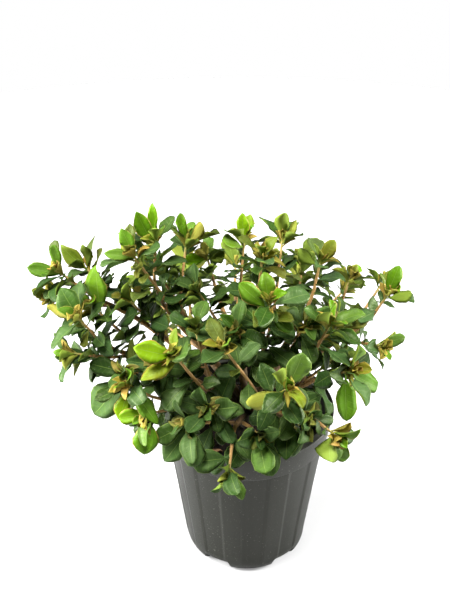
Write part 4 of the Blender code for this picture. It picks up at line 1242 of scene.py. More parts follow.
def rounded(profile):
    """The profile with each corner turned into a small curve of its own radius."""
    spots = [(Vector(row[:4]), row[4]) for row in profile]
    smooth = [spots[0][0]]
    for (before, _), (here, radius), (after, _) in zip(spots, spots[1:], spots[2:]):
        if not radius:
            smooth.append(here)
            continue
        back, ahead = before - here, after - here
        start = here + back * min(ROUND_SHARE, radius / back.xy.length)
        end = here + ahead * min(ROUND_SHARE, radius / ahead.xy.length)
        smooth += [bezier([start, here, end], step / ROUND_STEPS) for step in range(ROUND_STEPS + 1)]
    return smooth + [spots[-1][0]]


def fluted_pot_rule():
    """Sinks the recessed panels of a plain turned pot, lifts its foot's notches and bores its drain holes."""
    rule = Rule("Fluted pot")
    count, depth = rule.input("Flutes"), rule.input("Flute Depth")
    half, riser = rule.input("Half Angle"), rule.input("Riser Angle")
    notch_half, floor = rule.input("Notch Half Angle"), rule.input("Floor Height")
    first = rule.input("First Recess Angle")
    drills, material = rule.input("Drain Drill", "Object"), rule.input("Material", "Material")
    place = rule.node("GeometryNodeInputPosition")
    x, y, z = rule.parts(place)
    angle = rule.sum("ARCTAN2", x, 0 - y) * math.degrees(1) - first
    pitch = 360 / count
    turned = angle / pitch + 0.5
    off_centre = abs(turned % 1 - 0.5) * pitch
    recess = 1 - rule.step(off_centre, half, half + riser)
    notch = 1 - rule.step(off_centre, notch_half, notch_half + riser)
    notched = rule.sum("COMPARE", rule.sum("FLOOR", turned % NOTCH_STEP), FIRST_NOTCH_RECESS, 0.1)
    radius = rule.most(rule.sum("SQRT", x * x + y * y), 0.001)
    shrink = 1 - rule.attribute("flute") * recess * depth / radius
    roof = floor + NOTCH_ROOF_RISE * rule.most(radius - FOOT_OUTER_RADIUS, 0)
    lifted = z + rule.attribute("notch") * notch * notched * rule.most(roof - z, 0)
    moved = rule.join(x * shrink, y * shrink, lifted)
    shaped = rule.node("GeometryNodeSetPosition", None, {0: rule.geometry, 2: moved})
    inputs = {"Vertices": FLUTE_COUNT // NOTCH_STEP, "Radius": DRAIN_CIRCLE_RADIUS}
    holes = rule.node("GeometryNodeMeshCircle", None, inputs)
    drill = rule.node("GeometryNodeObjectInfo", None, {0: drills}, 4)
    placed = rule.node("GeometryNodeInstanceOnPoints", None, {0: holes, 2: drill})
    drilled = rule.node("GeometryNodeRealizeInstances", None, {0: placed})
    settings = {"operation": "DIFFERENCE", "solver": "EXACT"}
    bored = rule.node("GeometryNodeMeshBoolean", settings, {0: shaped, 1: drilled})
    smooth = rule.node("GeometryNodeSetShadeSmooth", None, {0: bored})
    return rule.done(rule.node("GeometryNodeSetMaterial", None, {0: smooth, 2: material}))


def pot_finish(colours):
    """Satin charcoal plastic with a fine moulded grain, specks of dust, and painted highlights along its
    risers and seam.
    """
    finish = Finish("charcoal_plastic", specular_ior_level=POT_SPECULAR, specular_tint=POT_SPECULAR_TINT)
    x, y, z = finish.parts(finish.place)
    around_pot = finish.sum("ARCTAN2", x, 0 - y)
    turned = (around_pot * math.degrees(1) - FIRST_RECESS_ANGLE) / FLUTE_PITCH + 0.5
    from_riser = abs(abs(turned % 1 - 0.5) * FLUTE_PITCH - RECESS_HALF_ANGLE - FLUTE_RISER_ANGLE)
    seam = POT_HEIGHT - RIM_BAND_HEIGHT
    fluted = finish.step(z, CORNER_HEIGHT - 0.012, CORNER_HEIGHT + 0.02)
    fluted = fluted * (1 - finish.step(z, seam - 0.008, seam - 0.002))
    # Painted highlight: pale bands along both sides of each riser, and a pale line along the rim band's seam
    painted_highlight = (1 - finish.step(from_riser, *HIGHLIGHT_WIDTH)) * fluted
    painted_highlight = painted_highlight + (1 - finish.step(abs(z - seam - 0.0004), 0.0002, 0.0014)) * 0.8
    streaks = finish.noise(finish.join(around_pot * 0.1, z * 0.06, 0.0), WAVES["streaks"], 4)
    cloud = finish.noise(finish.place, WAVES["clouds"], 3)
    grain = finish.noise(finish.place, WAVES["moulded grain"], 2)
    dust = finish.step(finish.noise(finish.place, WAVES["dust"], 2), 0.66, 0.74)
    lip = finish.step(z, POT_HEIGHT - 0.004, POT_HEIGHT - 0.001)
    painted_highlight = painted_highlight * HIGHLIGHT_TINT * finish.step(cloud, 0.4, 0.75)
    base = finish.blend(streaks * 0.03 + painted_highlight, colours.pot, colours.dust)
    base = finish.blend(dust * (0.05 + 0.45 * cloud) + lip * 0.06 * cloud, base, colours.dust)
    finish.set(base_color=base, roughness=0.25 + 0.12 * cloud + 0.08 * streaks)
    finish.bump(grain * 0.5 + streaks * 0.5, RELIEF["pot"])
    return finish.material


class MakePot(bpy.types.Operator):
    """The fluted nursery pot, with its rim band, lip, foot notches and drain holes"""

    bl_idname = "hawthorn.pot"
    bl_label = "Pot"

    def execute(self, context):
        sizes, colours = context.scene.hawthorn_sizes, context.scene.hawthorn_colours
        profile = rounded(pot_profile())
        panel = [*PANEL_COLUMNS, *[-column for column in reversed(PANEL_COLUMNS[:-1])]]
        turns = []
        for flute in range(FLUTE_COUNT):
            turns += [FIRST_RECESS_ANGLE + FLUTE_PITCH * flute + column for column in panel]
        rings = [[around(spot[0], turn, spot[1]) for turn in turns] for spot in profile]
        mesh = close_loft("fluted_pot", rings)
        store(mesh, "flute", [spot[2] for spot in profile for _ in turns])
        store(mesh, "notch", [spot[3] for spot in profile for _ in turns])
        face_outwards(mesh)
        pot = add_piece("fluted_pot", mesh)
        skin = bmesh.new()
        bmesh.ops.create_cone(
            skin,
            cap_ends=True,
            segments=DRILL_SIDES,
            radius1=DRAIN_RADIUS,
            radius2=DRAIN_RADIUS,
            depth=DRILL_LENGTH,
        )
        drill_mesh = bpy.data.meshes.new("drain_drill")
        skin.to_mesh(drill_mesh)
        skin.free()
        drill = add_piece("drain_drill", drill_mesh)
        follow_rule(
            pot,
            fluted_pot_rule(),
            flutes=float(FLUTE_COUNT),
            flute_depth=sizes.flute_depth,
            half_angle=RECESS_HALF_ANGLE,
            riser_angle=FLUTE_RISER_ANGLE * RISER_SOFTNESS,
            notch_half_angle=NOTCH_HALF_ANGLE,
            floor_height=FLOOR_UNDERSIDE,
            first_recess_angle=FIRST_RECESS_ANGLE,
            drain_drill=drill,
            material=pot_finish(colours),
        )
        bpy.data.objects.remove(drill)
        pot.data.set_sharp_from_angle(angle=math.radians(SHARP_ANGLE))
        finish_piece(pot, "pot_plastic", "pot")
        return {"FINISHED"}


# Potting mix

# Bits of bark: the knobs on one and how far they stand out, the smallest against the largest, how much more
# common small ones are, and the least and greatest of a bit's shape and turn
BIT_WAVES = 2.2
BIT_BULGE = 0.9
SMALLEST_BIT = 0.15
MOSTLY_SMALL = 2.2
BIT_SHAPES = ((0.45, 0.25, 0.10), (1.0, 0.60, 0.34))
BIT_TURNS = ((-0.5, -0.5, 0.0), (0.5, 0.5, 6.283))


def scattered_bits_rule():
    """Scatters flat bits of bark over the top of the potting mix."""
    rule = Rule("Scattered bits")
    density, length, seed = rule.input("Density"), rule.input("Bit Length"), rule.input("Seed", "Int")
    mix_material = rule.input("Mix Material", "Material")
    bit_material = rule.input("Bit Material", "Material")
    top = rule.attribute("top")
    inputs = {0: rule.geometry, 1: top, 4: density, 6: seed}
    scattered = rule.node("GeometryNodeDistributePointsOnFaces", {"distribute_method": "RANDOM"}, inputs)

    def draw(lowest, highest, offset, kind="FLOAT"):
        """A random number or vector for each bit."""
        vectors = kind == "FLOAT_VECTOR"
        inputs = {0 if vectors else 2: lowest, 1 if vectors else 3: highest, 8: seed + offset}
        return rule.node("FunctionNodeRandomValue", {"data_type": kind}, inputs, 0 if vectors else 1)

    ball = rule.node("GeometryNodeMeshIcoSphere", None, {"Radius": 0.5, "Subdivisions": 2})
    rough = rule.noise(rule.node("GeometryNodeInputPosition"), BIT_WAVES, 2)
    bulges = rule.node("GeometryNodeInputNormal") * ((rough - 0.5) * BIT_BULGE)
    knobbly = rule.node("GeometryNodeSetPosition", None, {0: ball, 3: bulges})
    size = draw(0.0, 1.0, 1) ** MOSTLY_SMALL * (1 - SMALLEST_BIT) + SMALLEST_BIT
    shape = draw(*BIT_SHAPES, 2, "FLOAT_VECTOR")
    turn = draw(*BIT_TURNS, 3, "FLOAT_VECTOR")
    rotation = rule.node("FunctionNodeEulerToRotation", None, {0: turn})
    inputs = {0: scattered, 2: knobbly, 5: rotation, 6: shape * (size * length)}
    placed = rule.node("GeometryNodeInstanceOnPoints", None, inputs)
    settings = {"data_type": "FLOAT", "domain": "INSTANCE"}
    inputs = {0: placed, 2: "shade", 3: draw(0.0, 1.0, 4)}
    shaded = rule.node("GeometryNodeStoreNamedAttribute", settings, inputs)
    real = rule.node("GeometryNodeRealizeInstances", None, {0: shaded})
    bits = rule.node("GeometryNodeSetMaterial", None, {0: real, 2: bit_material})
    ground = rule.node("GeometryNodeSetMaterial", None, {0: rule.geometry, 2: mix_material})
    return rule.done(ground, bits)


def mix_finish(colours):
    """Almost black peat with crumbs and a few pale grains."""
    finish = Finish("peat_mix", specular_ior_level=0.12)
    crumbs = finish.noise(finish.place, WAVES["crumbs"], 4, 0.65)
    clods = finish.noise(finish.place, WAVES["clods"], 3)
    brown = finish.step(crumbs, 0.52, 0.72) * finish.step(clods, 0.35, 0.65)
    grain = finish.step(finish.noise(finish.place, WAVES["pale grains"], 1), 0.76, 0.80)
    base = finish.blend(brown * 0.35, colours.mix, colours.bark_bit)
    finish.set(base_color=finish.blend(grain * 0.25, base, colours.dust), roughness=0.82 + 0.15 * crumbs)
    finish.bump(crumbs + clods, RELIEF["mix"])
    return finish.material


def bit_finish(name, colours, palest):
    """Bits of bark, each with its own brown."""
    finish = Finish(name, specular_ior_level=0.18)
    shade = finish.attribute("shade")
    fibres = finish.noise(finish.place, WAVES["fibres"], 3, 0.6)
    base = finish.blend(shade**3 * palest, colours.mix, colours.bark_bit)
    base = finish.blend(fibres * 0.35, base, colours.mix)
    finish.set(base_color=base, roughness=0.70 + 0.25 * fibres)
    finish.bump(fibres, RELIEF["bits"])
    return finish.material


class MakePottingMix(bpy.types.Operator):
    """The sunk, lumpy potting mix with its crumbs and bits of bark"""

    bl_idname = "hawthorn.potting_mix"
    bl_label = "Potting mix"

    def execute(self, context):
        sizes, colours = context.scene.hawthorn_sizes, context.scene.hawthorn_colours
        inset, depth = MIX_CHAMFER
        turns = [360 * side / MIX_SIDES for side in range(MIX_SIDES)]
        low = [
            (MIX_MIDDLE_RADIUS, FLOOR_UNDERSIDE + WALL + CLEARANCE),
            (FLOOR_RADIUS - 2 * CLEARANCE, FLOOR_UNDERSIDE + WALL + CLEARANCE),
            (BODY_FOOT_RADIUS - WALL - FLUTE_DEPTH - 2 * CLEARANCE, CORNER_HEIGHT),
            (MIX_RADIUS, MIX_TOP - MIX_EDGE_DROP - depth),
        ]
        rings = [[around(radius, turn, height) for turn in turns] for radius, height in low]
        for row in range(MIX_TOP_ROWS):
            radius = MIX_RADIUS - inset - row * MIX_ROW_STEP
            ring = []
            for turn in turns:
                spot = around(radius, turn, 0)
                crumb_place = spot * CRUMB_WAVES + Vector((0, 0, sizes.seed))
                crumbs = noise.fractal(crumb_place, *CRUMB_NOISE)
                fade = min(1.0, (MIX_RADIUS - radius) / CRUMB_FADE)
                spot.z = mix_height(spot.x, spot.y) + sizes.mix_grain * crumbs * fade
                ring.append(spot)
            rings.append(ring)
        mesh = close_loft("peat_and_bark", rings)
        store(mesh, "top", [float(row >= len(low)) for row in range(len(rings)) for _ in turns])
        face_outwards(mesh)
        mesh.shade_smooth()
        mix = add_piece("peat_and_bark", mesh)
        follow_rule(
            mix,
            scattered_bits_rule(),
            density=sizes.bark_bits,
            bit_length=sizes.bit_length,
            seed=sizes.seed,
            mix_material=mix_finish(colours),
            bit_material=bit_finish("bark_bits", colours, 1.0),
        )
        finish_piece(mix, "potting_mix", "potting_mix")
        return {"FINISHED"}


# Stems and leaves

# Sides and steps of the branches' skins: of the trunk and limbs, then of a young stem
STEM_SIDES, STEM_STEPS = 12, 8
SHOOT_SIDES, SHOOT_STEPS = 8, 5


def wire_branches(rule, routes, sides, material, resolution):
    """Round branches along routes, as thick as the girth attribute says."""
    curve = rule.node("GeometryNodeMeshToCurve", None, {0: routes})
    curve = rule.node("GeometryNodeCurveSplineType", {"spline_type": "CATMULL_ROM"}, {0: curve})
    curve = rule.node("GeometryNodeSetSplineResolution", None, {0: curve, 2: resolution})
    ring = rule.node("GeometryNodeCurvePrimitiveCircle", None, {"Resolution": sides, "Radius": 1.0})
    inputs = {0: curve, 1: ring, 2: rule.attribute("girth"), 3: True}
    skin = rule.node("GeometryNodeCurveToMesh", None, inputs)
    smooth = rule.node("GeometryNodeSetShadeSmooth", None, {0: skin})
    return rule.node("GeometryNodeSetMaterial", None, {0: smooth, 2: material})


def woody_stem_rule():
    """The trunk and limbs, with uneven bark."""
    rule = Rule("Woody stems")
    sides, unevenness = rule.input("Sides", "Int"), rule.input("Unevenness")
    material = rule.input("Material", "Material")
    stems = wire_branches(rule, rule.geometry, sides, material, STEM_STEPS)
    place = rule.node("GeometryNodeInputPosition")
    lumps = rule.noise(place, WAVES["bark lumps"], 3) - 0.5
    offset = rule.node("GeometryNodeInputNormal") * (lumps * 2 * unevenness)
    return rule.done(rule.node("GeometryNodeSetPosition", None, {0: stems, 3: offset}))


def leafy_shoot_rule():
    """A young stem and its leaves. Every leaf is the same flat blade, folded, arched, waved and sized."""
    rule = Rule("Leafy shoot")
    blade = rule.input("Blade", "Object")
    stalk, stalk_radius = rule.input("Stalk Share"), rule.input("Stalk Radius")
    thickness, wave = rule.input("Blade Thickness"), rule.input("Wave Height")
    camber = rule.input("Camber")
    stem_material = rule.input("Stem Material", "Material")
    leaf_material = rule.input("Leaf Material", "Material")
    inputs = {0: rule.geometry, 1: rule.attribute("on_stem")}
    routes = rule.node("GeometryNodeSeparateGeometry", {"domain": "POINT"}, inputs)
    stem = wire_branches(rule, routes, SHOOT_SIDES, stem_material, SHOOT_STEPS)
    shape = rule.node("GeometryNodeObjectInfo", None, {0: blade}, 4)
    placed = rule.node("GeometryNodeInstanceOnPoints", None, {0: routes.other("Inverted"), 2: shape})
    leaves = rule.node("GeometryNodeRealizeInstances", None, {0: placed})

    share, across, lift = [rule.attribute(name) for name in ("share", "across", "lift")]
    length, width, arch, fold = [rule.attribute(name) for name in ("length", "width", "arch", "fold")]
    base, along, face = [rule.attribute(name, "FLOAT_VECTOR") for name in ("base", "along", "face")]
    phase, twist = rule.attribute("phase"), rule.attribute("twist")

    reach = rule.most(share - stalk, 0) / (1 - stalk)
    tip_power = rule.attribute("tip_power")
    peak = OUTLINE_FOOT / (OUTLINE_FOOT + tip_power)
    highest = peak**OUTLINE_FOOT * (1 - peak) ** tip_power
    outline = reach**OUTLINE_FOOT * rule.most(1 - reach, 0) ** tip_power / highest
    half = rule.most(width / 2 * outline, stalk_radius * (share < 0.5))
    roll = rule.attribute("roll")
    stray, lengthwise, outwards = LONG_WAVES
    uneven = 1 + stray * rule.sine(phase * 2 + reach * lengthwise + across * outwards)
    stray, lengthwise = SHORT_WAVES
    uneven = uneven + stray * rule.sine(phase + reach * lengthwise)
    aside = half * uneven * rule.sine(across * roll) / roll
    cup = half * (1 - rule.cosine(across * roll)) / roll * rule.attribute("cup")
    ahead = length * (share - ARCH_PULL * arch * arch * share**3)
    edge = abs(across)
    lengthwise, outwards = EDGE_WAVES
    ripple = rule.sine(phase + reach * lengthwise + across * outwards) * edge
    ripple = ripple * rule.step(reach, 0.0, WAVES_IN_FULL) * rule.attribute("ruffle")
    bulge = edge * (1 - edge) * camber * half * 2
    thinner = thickness / 2 - stalk_radius * STALK_DEPTH
    thick = stalk_radius * STALK_DEPTH + thinner * rule.step(reach, 0.0, STALK_BLEND)
    rise = fold * half * edge + cup - arch * length * share**2 + bulge
    rise = rise + wave * length * ripple + lift * thick
    rise = rise - rule.attribute("curl") * length * reach**4
    turn = twist * reach
    aside_turned = aside * rule.cosine(turn) - rise * rule.sine(turn)
    rise_turned = aside * rule.sine(turn) + rise * rule.cosine(turn)
    place = base + along * ahead + rule.cross(along, face) * aside_turned + face * rise_turned
    shaped = rule.node("GeometryNodeSetPosition", None, {0: leaves, 2: place})
    smooth = rule.node("GeometryNodeSetShadeSmooth", None, {0: shaped})
    return rule.done(stem, rule.node("GeometryNodeSetMaterial", None, {0: smooth, 2: leaf_material}))


def blade_mesh():
    """A closed flat blade: rings round it from its foot, and one point for its tip.

    Its faces point inwards, because the rule shapes each leaf from the blade's mirror image, which turns them
    outwards. Both sides of the blade split their faces alike, so that a waved blade stays equally thick.
    """
    ring = [(across, lift) for across, lift in zip(BLADE_ACROSS, BLADE_LIFTS)]
    ring += [(across, -lift) for across, lift in reversed(ring[1:-1])]
    rows = [(station, across, lift) for station in BLADE_STATIONS for across, lift in ring]
    rows.append((1.0, 0.0, 0.0))
    count, tip = len(ring), len(rows) - 1
    faces = [tuple(reversed(range(count)))]
    for low in range(0, tip, count):
        for side in range(count):
            here, after = low + side, low + (side + 1) % count
            if low + count == tip:
                faces.append((here, after, tip))
            elif side < len(BLADE_ACROSS) - 1:
                faces.append((here, after, after + count, here + count))
            else:
                faces.append((after, after + count, here + count, here))
    mesh = mesh_from("blade", [Vector(row) for row in rows], (), faces)
    for column, name in enumerate(("share", "across", "lift")):
        store(mesh, name, [row[column] for row in rows])
    under = mesh.attributes.new("underside", "FLOAT", "CORNER")
    values = []
    for polygon in mesh.polygons:
        lifts = sum(rows[vertex][2] for vertex in polygon.vertices)
        values += [float(lifts < 0)] * len(polygon.vertices)
    under.data.foreach_set("value", values)
    return mesh


# The leaves' finish: roughness and specular level by tone, the colour that keeps their gloss green, how
# bright the darkest leaves are against a grown one (the inner leaves' painted shade goes towards it), the
# slant and strength of the side veins, and where the rim starts
LEAF_GLOSS = {"dark_leaf": (0.38, 0.12), "lime_leaf": (0.29, 0.17), "bronze_leaf": (0.38, 0.15)}
LEAF_SPECULAR_TINT = (0.85, 1.0, 0.50, 1.0)
DARKEST_GREEN = 0.28
VEIN_SLANT = 0.9
VEIN_TINT = 0.045
RIM_EDGES = (0.90, 0.98)


def leaf_finish(name, colours, roughness, specular):
    """A leathery leaf: midrib, side veins, thin edge, mottling, a paler underside, and painted shade on the
    inner leaves.
    """
    finish = Finish(name, specular_ior_level=specular, specular_tint=LEAF_SPECULAR_TINT)
    share, across, under = [finish.attribute(each) for each in ("share", "across", "underside")]
    maturity, bronze = finish.attribute("maturity"), finish.attribute("bronze")
    tan, tint = finish.attribute("tan"), finish.attribute("tint")
    edge = abs(across)
    mottling = finish.noise(finish.place, WAVES["mottling"], 3)
    fine = finish.noise(finish.place, WAVES["specks"], 2)
    midrib = 1 - finish.step(edge, 0.008, 0.060 - share * 0.03)
    comb = abs((share * SIDE_VEINS - edge * VEIN_SLANT) % 1 - 0.5)
    veins = (1 - finish.step(comb, 0.02, 0.16)) * finish.step(edge, 0.02, 0.2)
    ripeness = finish.step(maturity + (mottling - 0.5) * 0.30, -0.05, 0.85)
    fresh = finish.blend(finish.step(tint, 0.5, 1.2), colours.fresh_leaf, colours.lime_leaf)
    green = finish.blend(ripeness, fresh, colours.grown_leaf)
    # Painted shade: inner leaves are darkened towards DARKEST_GREEN as though deep in the bush; the others by
    # a random amount
    shaded = (1 - tint) * (0.25 + 0.50 * ripeness)
    green = finish.blend(shaded, green, tuple(part * DARKEST_GREEN for part in colours.grown_leaf))
    flush = bronze * (0.45 + 0.8 * mottling) + bronze * finish.step(edge, 0.3, 1.0) * 0.30
    upper = finish.blend(flush, green, colours.bronze_leaf)
    upper = finish.blend(tan * (0.7 + 0.5 * mottling), upper, colours.bud_leaf)
    upper = finish.blend(midrib * (0.42 - 0.15 * bronze), upper, colours.midrib)
    upper = finish.blend(veins * VEIN_TINT, upper, colours.midrib)
    rim = finish.step(edge, *RIM_EDGES) * finish.step(share, 0.12, 0.2)
    rim_colour = finish.blend(finish.step(maturity, 0.1, 0.6), colours.leaf_edge, colours.midrib)
    upper = finish.blend(rim * (0.35 + 0.5 * (1 - maturity)), upper, rim_colour)
    # Dust film on older leaves, heavier on the light-toned outer ones than on the shaded inner ones: partly
    # real dust, partly a painted sheen
    upper = finish.blend(maturity * (0.006 + 0.058 * tint) * (0.4 + 1.2 * mottling), upper, colours.dust)
    specks = finish.step(fine, 0.69, 0.74)
    upper = finish.blend(specks * (0.10 + 0.30 * maturity), upper, colours.dust)
    lower = finish.blend(maturity * 0.40, colours.under_leaf, upper)
    lower = finish.blend(bronze * 0.5 + tan * 0.6, lower, colours.bud_leaf)
    lower = finish.blend(midrib * 0.4, lower, colours.midrib)
    finish.set(base_color=finish.blend(under, upper, lower))
    finish.set(roughness=roughness + mottling * 0.14 + under * 0.24 + fine * 0.06)
    finish.bump(mottling * 0.6 - midrib * 0.3 - veins * 0.20 + fine * 0.14, RELIEF["leaf"])
    return finish.material


def young_stem_finish(colours):
    """Tan bark that darkens towards the foot of the shoot and is still green at its tip."""
    finish = Finish("young_bark", specular_ior_level=0.4)
    reach = finish.attribute("reach")
    patches = finish.noise(finish.place, WAVES["stem patches"], 3)
    rings = finish.noise(finish.place, WAVES["stem rings"], 2)
    browned = finish.step(reach, -0.2, 0.15 + patches * 0.3)
    bark = finish.blend(browned, colours.old_stem, colours.young_stem)
    bark = finish.blend(finish.step(reach, 0.72, 1.1) * (0.4 + patches), bark, colours.stem_tip)
    bark = finish.blend(rings * 0.2, bark, colours.old_stem)
    finish.set(base_color=bark, roughness=0.48 + 0.25 * rings)
    finish.bump(rings + patches, RELIEF["stem"])
    return finish.material


def bark_finish(colours):
    """Brown bark with lengthwise cracks, darker towards the fork: old bark, and painted shade low in the
    bush.
    """
    finish = Finish("brown_bark", specular_ior_level=0.35)
    x, y, z = finish.parts(finish.place)
    cracks = finish.noise(finish.join(x, y, z * 0.35), WAVES["bark cracks"], 4, 0.6)
    patches = finish.noise(finish.place, WAVES["bark patches"], 3)
    # Darker below the limbs' upper parts: partly old bark, partly painted shade deep in the bush
    browned = (0.4 + patches * 0.8) * finish.step(z, 0.19, 0.28)
    bark = finish.blend(browned, colours.old_stem, colours.young_stem)
    bark = finish.blend(finish.step(cracks, 0.45, 0.6) * 0.45, bark, colours.old_stem)
    finish.set(base_color=bark, roughness=0.66 + 0.25 * cracks)
    finish.bump(cracks + patches * 0.5, RELIEF["bark"])
    return finish.material


class MakeWoodyStems(bpy.types.Operator):
    """The trunk and its limbs"""

    bl_idname = "hawthorn.woody_stems"
    bl_label = "Woody stems"

    def execute(self, context):
        sizes, colours = context.scene.hawthorn_sizes, context.scene.hawthorn_colours
        heights = (TRUNK_BOTTOM, TRUNK_MIDDLE, TRUNK_FLARE_HEIGHT, TRUNK_TOP)
        tapers = (1.0, 1.0, TRUNK_FLARE_TAPER, TRUNK_TAPER)
        trunk = [Vector((0, 0, height)) for height in heights]
        routes = [(trunk, [TRUNK_RADIUS * taper for taper in tapers])]
        routes += [(limb.points, limb.radii) for limb in plant().limbs.values()]
        points, edges, girths = [], [], []
        for route, radii in routes:
            start = len(points)
            points += route
            girths += radii
            edges += [(index, index + 1) for index in range(start, len(points) - 1)]
        mesh = mesh_from("trunk_and_limbs", points, edges)
        store(mesh, "girth", girths)
        stems = add_piece("trunk_and_limbs", mesh)
        follow_rule(
            stems,
            woody_stem_rule(),
            sides=STEM_SIDES,
            unevenness=sizes.bark_roughness,
            material=bark_finish(colours),
        )
        finish_piece(stems, "bark", "woody_stems")
        return {"FINISHED"}


# By the tone of a shoot: how mature its youngest leaf is, what the oldest gains on that, the chance that a
# young leaf is flushed with bronze, and how tan the buds are
TONE_LOOKS = {
    "dark_leaf": (0.70, 0.50, 0.10, 0.45),
    "lime_leaf": (0.00, 1.35, 0.15, 1.00),
    "bronze_leaf": (0.30, 1.20, 0.36, 1.00),
}

# Width of the shown blades against the solids', and how far the young ones of each kind are still curled
BROADNESS = (0.95, 1.20)
SET_BROADNESS = 1.03
CURLED = {"by eye": 0.15, "grown": 0.45, "inner": 0.6, "bud": 1.0}

# What each leaf has for its finish, then for its shape
LEAF_LOOKS = (
    "maturity", "bronze", "tan", "tint", "phase", "twist", "curl", "ruffle", "roll", "cup", "tip_power",
)

# The least and the greatest that is drawn for a leaf
DRAWN = {
    "maturity": (-0.20, 0.20), "bronze flush": (0.40, 0.90), "green flush": (0, 0.06), "tan": (0.25, 1.0),
    "twist": (-0.5, 0.5), "curl": (-0.06, 0.14), "ruffle": (0.5, 1.9), "roll": (0.1, 0.45),
    "curled roll": (0, 1.1), "cup": (-0.6, 1.0),
}

# Inner leaves are more mature and painted darker, as though in shade, leaves set one by one are less wavy,
# and youth fades with age. A leaf that isn't curled has only UNCURLED of its twist and bend, and a curled one
# has more.
INNER_MATURITY = 0.25
INNER_PAINTED_SHADE = 0.4
SET_RUFFLE = 0.7
YOUTH_FADES = 1.5
UNCURLED = 0.6
TWISTS_MORE = 1.4
CURLS_MORE = 2.0


def leaf_looks(number, index, leaf, tone):
    """The values of LEAF_LOOKS for one leaf."""
    draw = random.Random(number * LOOKS_STRETCH + index)
    youngest, gain, bronze, tanned = TONE_LOOKS[tone]
    maturity = youngest + gain * leaf.age + draw.uniform(*DRAWN["maturity"])
    maturity += INNER_MATURITY if leaf.kind == "inner" else 0
    young = max(0.0, 1 - YOUTH_FADES * leaf.age)
    if draw.random() < bronze:
        flush = young * draw.uniform(*DRAWN["bronze flush"])
    else:
        flush = draw.uniform(*DRAWN["green flush"])
    tan = tanned * draw.uniform(*DRAWN["tan"]) if leaf.kind == "bud" else 0.0
    curled = young * CURLED[leaf.kind]
    return (
        min(1.0, max(0.0, maturity)),
        min(1.0, max(0.0, flush)),
        tan,
        # A random tone, kept low on inner leaves to paint them in shade
        draw.random() * (INNER_PAINTED_SHADE if leaf.kind == "inner" else 1.0),
        draw.uniform(0, math.tau),
        draw.uniform(*DRAWN["twist"]) * (UNCURLED + TWISTS_MORE * curled),
        draw.uniform(*DRAWN["curl"]) * (UNCURLED + CURLS_MORE * curled),
        draw.uniform(*DRAWN["ruffle"]) * (SET_RUFFLE if leaf.kind == "by eye" else 1.0),
        draw.uniform(*DRAWN["roll"]) + curled * draw.uniform(*DRAWN["curled roll"]),
        draw.uniform(*DRAWN["cup"]) if draw.random() > curled else 1.0,
        draw.uniform(*BLUNTNESS),
    )


def shown_width(leaf, draw):
    """The width of a leaf as it is shown."""
    return leaf.width * (SET_BROADNESS if leaf.kind == "by eye" else draw.uniform(*BROADNESS))


class MakeLeafyShoots(bpy.types.Operator):
    """Every leafy shoot: its young stem, its leaves and the small leaves at its tip"""

    bl_idname = "hawthorn.leafy_shoots"
    bl_label = "Leafy shoots"

    def execute(self, context):
        sizes, colours = context.scene.hawthorn_sizes, context.scene.hawthorn_colours
        tree = leafy_shoot_rule()
        blade = add_piece("blade", blade_mesh())
        stem_material = young_stem_finish(colours)
        finishes = {tone: leaf_finish(tone, colours, *gloss) for tone, gloss in LEAF_GLOSS.items()}
        more = small_leaves(sizes.bud_leaves, sizes.inner_leaves, sizes.seed)
        for number, stem, tone, leaves in plant().shoots:
            leaves = leaves + more[number]
            count = len(stem.points)
            points = stem.points + [leaf.base for leaf in leaves]
            mesh = mesh_from("shoot", points, [(index, index + 1) for index in range(count - 1)])
            looks = [leaf_looks(number, index, leaf, tone) for index, leaf in enumerate(leaves)]
            no_stem = [0.0] * len(leaves)
            store(mesh, "on_stem", [1.0] * count + no_stem)
            store(mesh, "girth", [radius * sizes.shoot_girth for radius in stem.radii] + no_stem)
            store(mesh, "reach", [reached / stem.length for reached in stem.lengths] + no_stem)
            draw = random.Random(number)
            store(mesh, "width", [0.0] * count + [shown_width(leaf, draw) for leaf in leaves])
            for fact in ("length", "arch", "fold"):
                store(mesh, fact, [0.0] * count + [getattr(leaf, fact) for leaf in leaves])
            for fact in ("base", "along", "face"):
                store(mesh, fact, [Vector()] * count + [getattr(leaf, fact) for leaf in leaves])
            for column, fact in enumerate(LEAF_LOOKS):
                store(mesh, fact, [0.0] * count + [row[column] for row in looks])
            shoot = add_piece(f"shoot_{number:02d}_stem_and_leaves", mesh)
            follow_rule(
                shoot,
                tree,
                blade=blade,
                stalk_share=sizes.stalk_share,
                stalk_radius=sizes.stalk_radius,
                blade_thickness=sizes.blade_thickness,
                wave_height=sizes.wave_height,
                camber=sizes.camber,
                stem_material=stem_material,
                leaf_material=finishes[tone],
            )
            finish_piece(shoot, tone, f"leafy_shoot_{number:02d}")
        bpy.data.objects.remove(blade)
        return {"FINISHED"}


# Loose bits on the potting mix


def dry_leaf_finish(colours):
    """A dry tan leaf with darker veins and blotches."""
    finish = Finish("dry_leaf", specular_ior_level=0.3)
    share, across = finish.attribute("share"), finish.attribute("across")
    blotches = finish.noise(finish.place, WAVES["blotches"], 4)
    midrib = 1 - finish.step(abs(across), 0.04, 0.12)
    dark = tuple(part * DRY_BLOTCH for part in colours.dry_leaf)
    base = finish.blend(finish.step(blotches, 0.4, 0.75) * 0.6 + midrib * 0.3, colours.dry_leaf, dark)
    base = finish.blend(finish.step(share, 0.9, 1.0) * 0.5, base, dark)
    finish.set(base_color=base, roughness=0.62 + 0.2 * blotches)
    finish.bump(blotches - midrib, RELIEF["dry leaf"])
    return finish.material


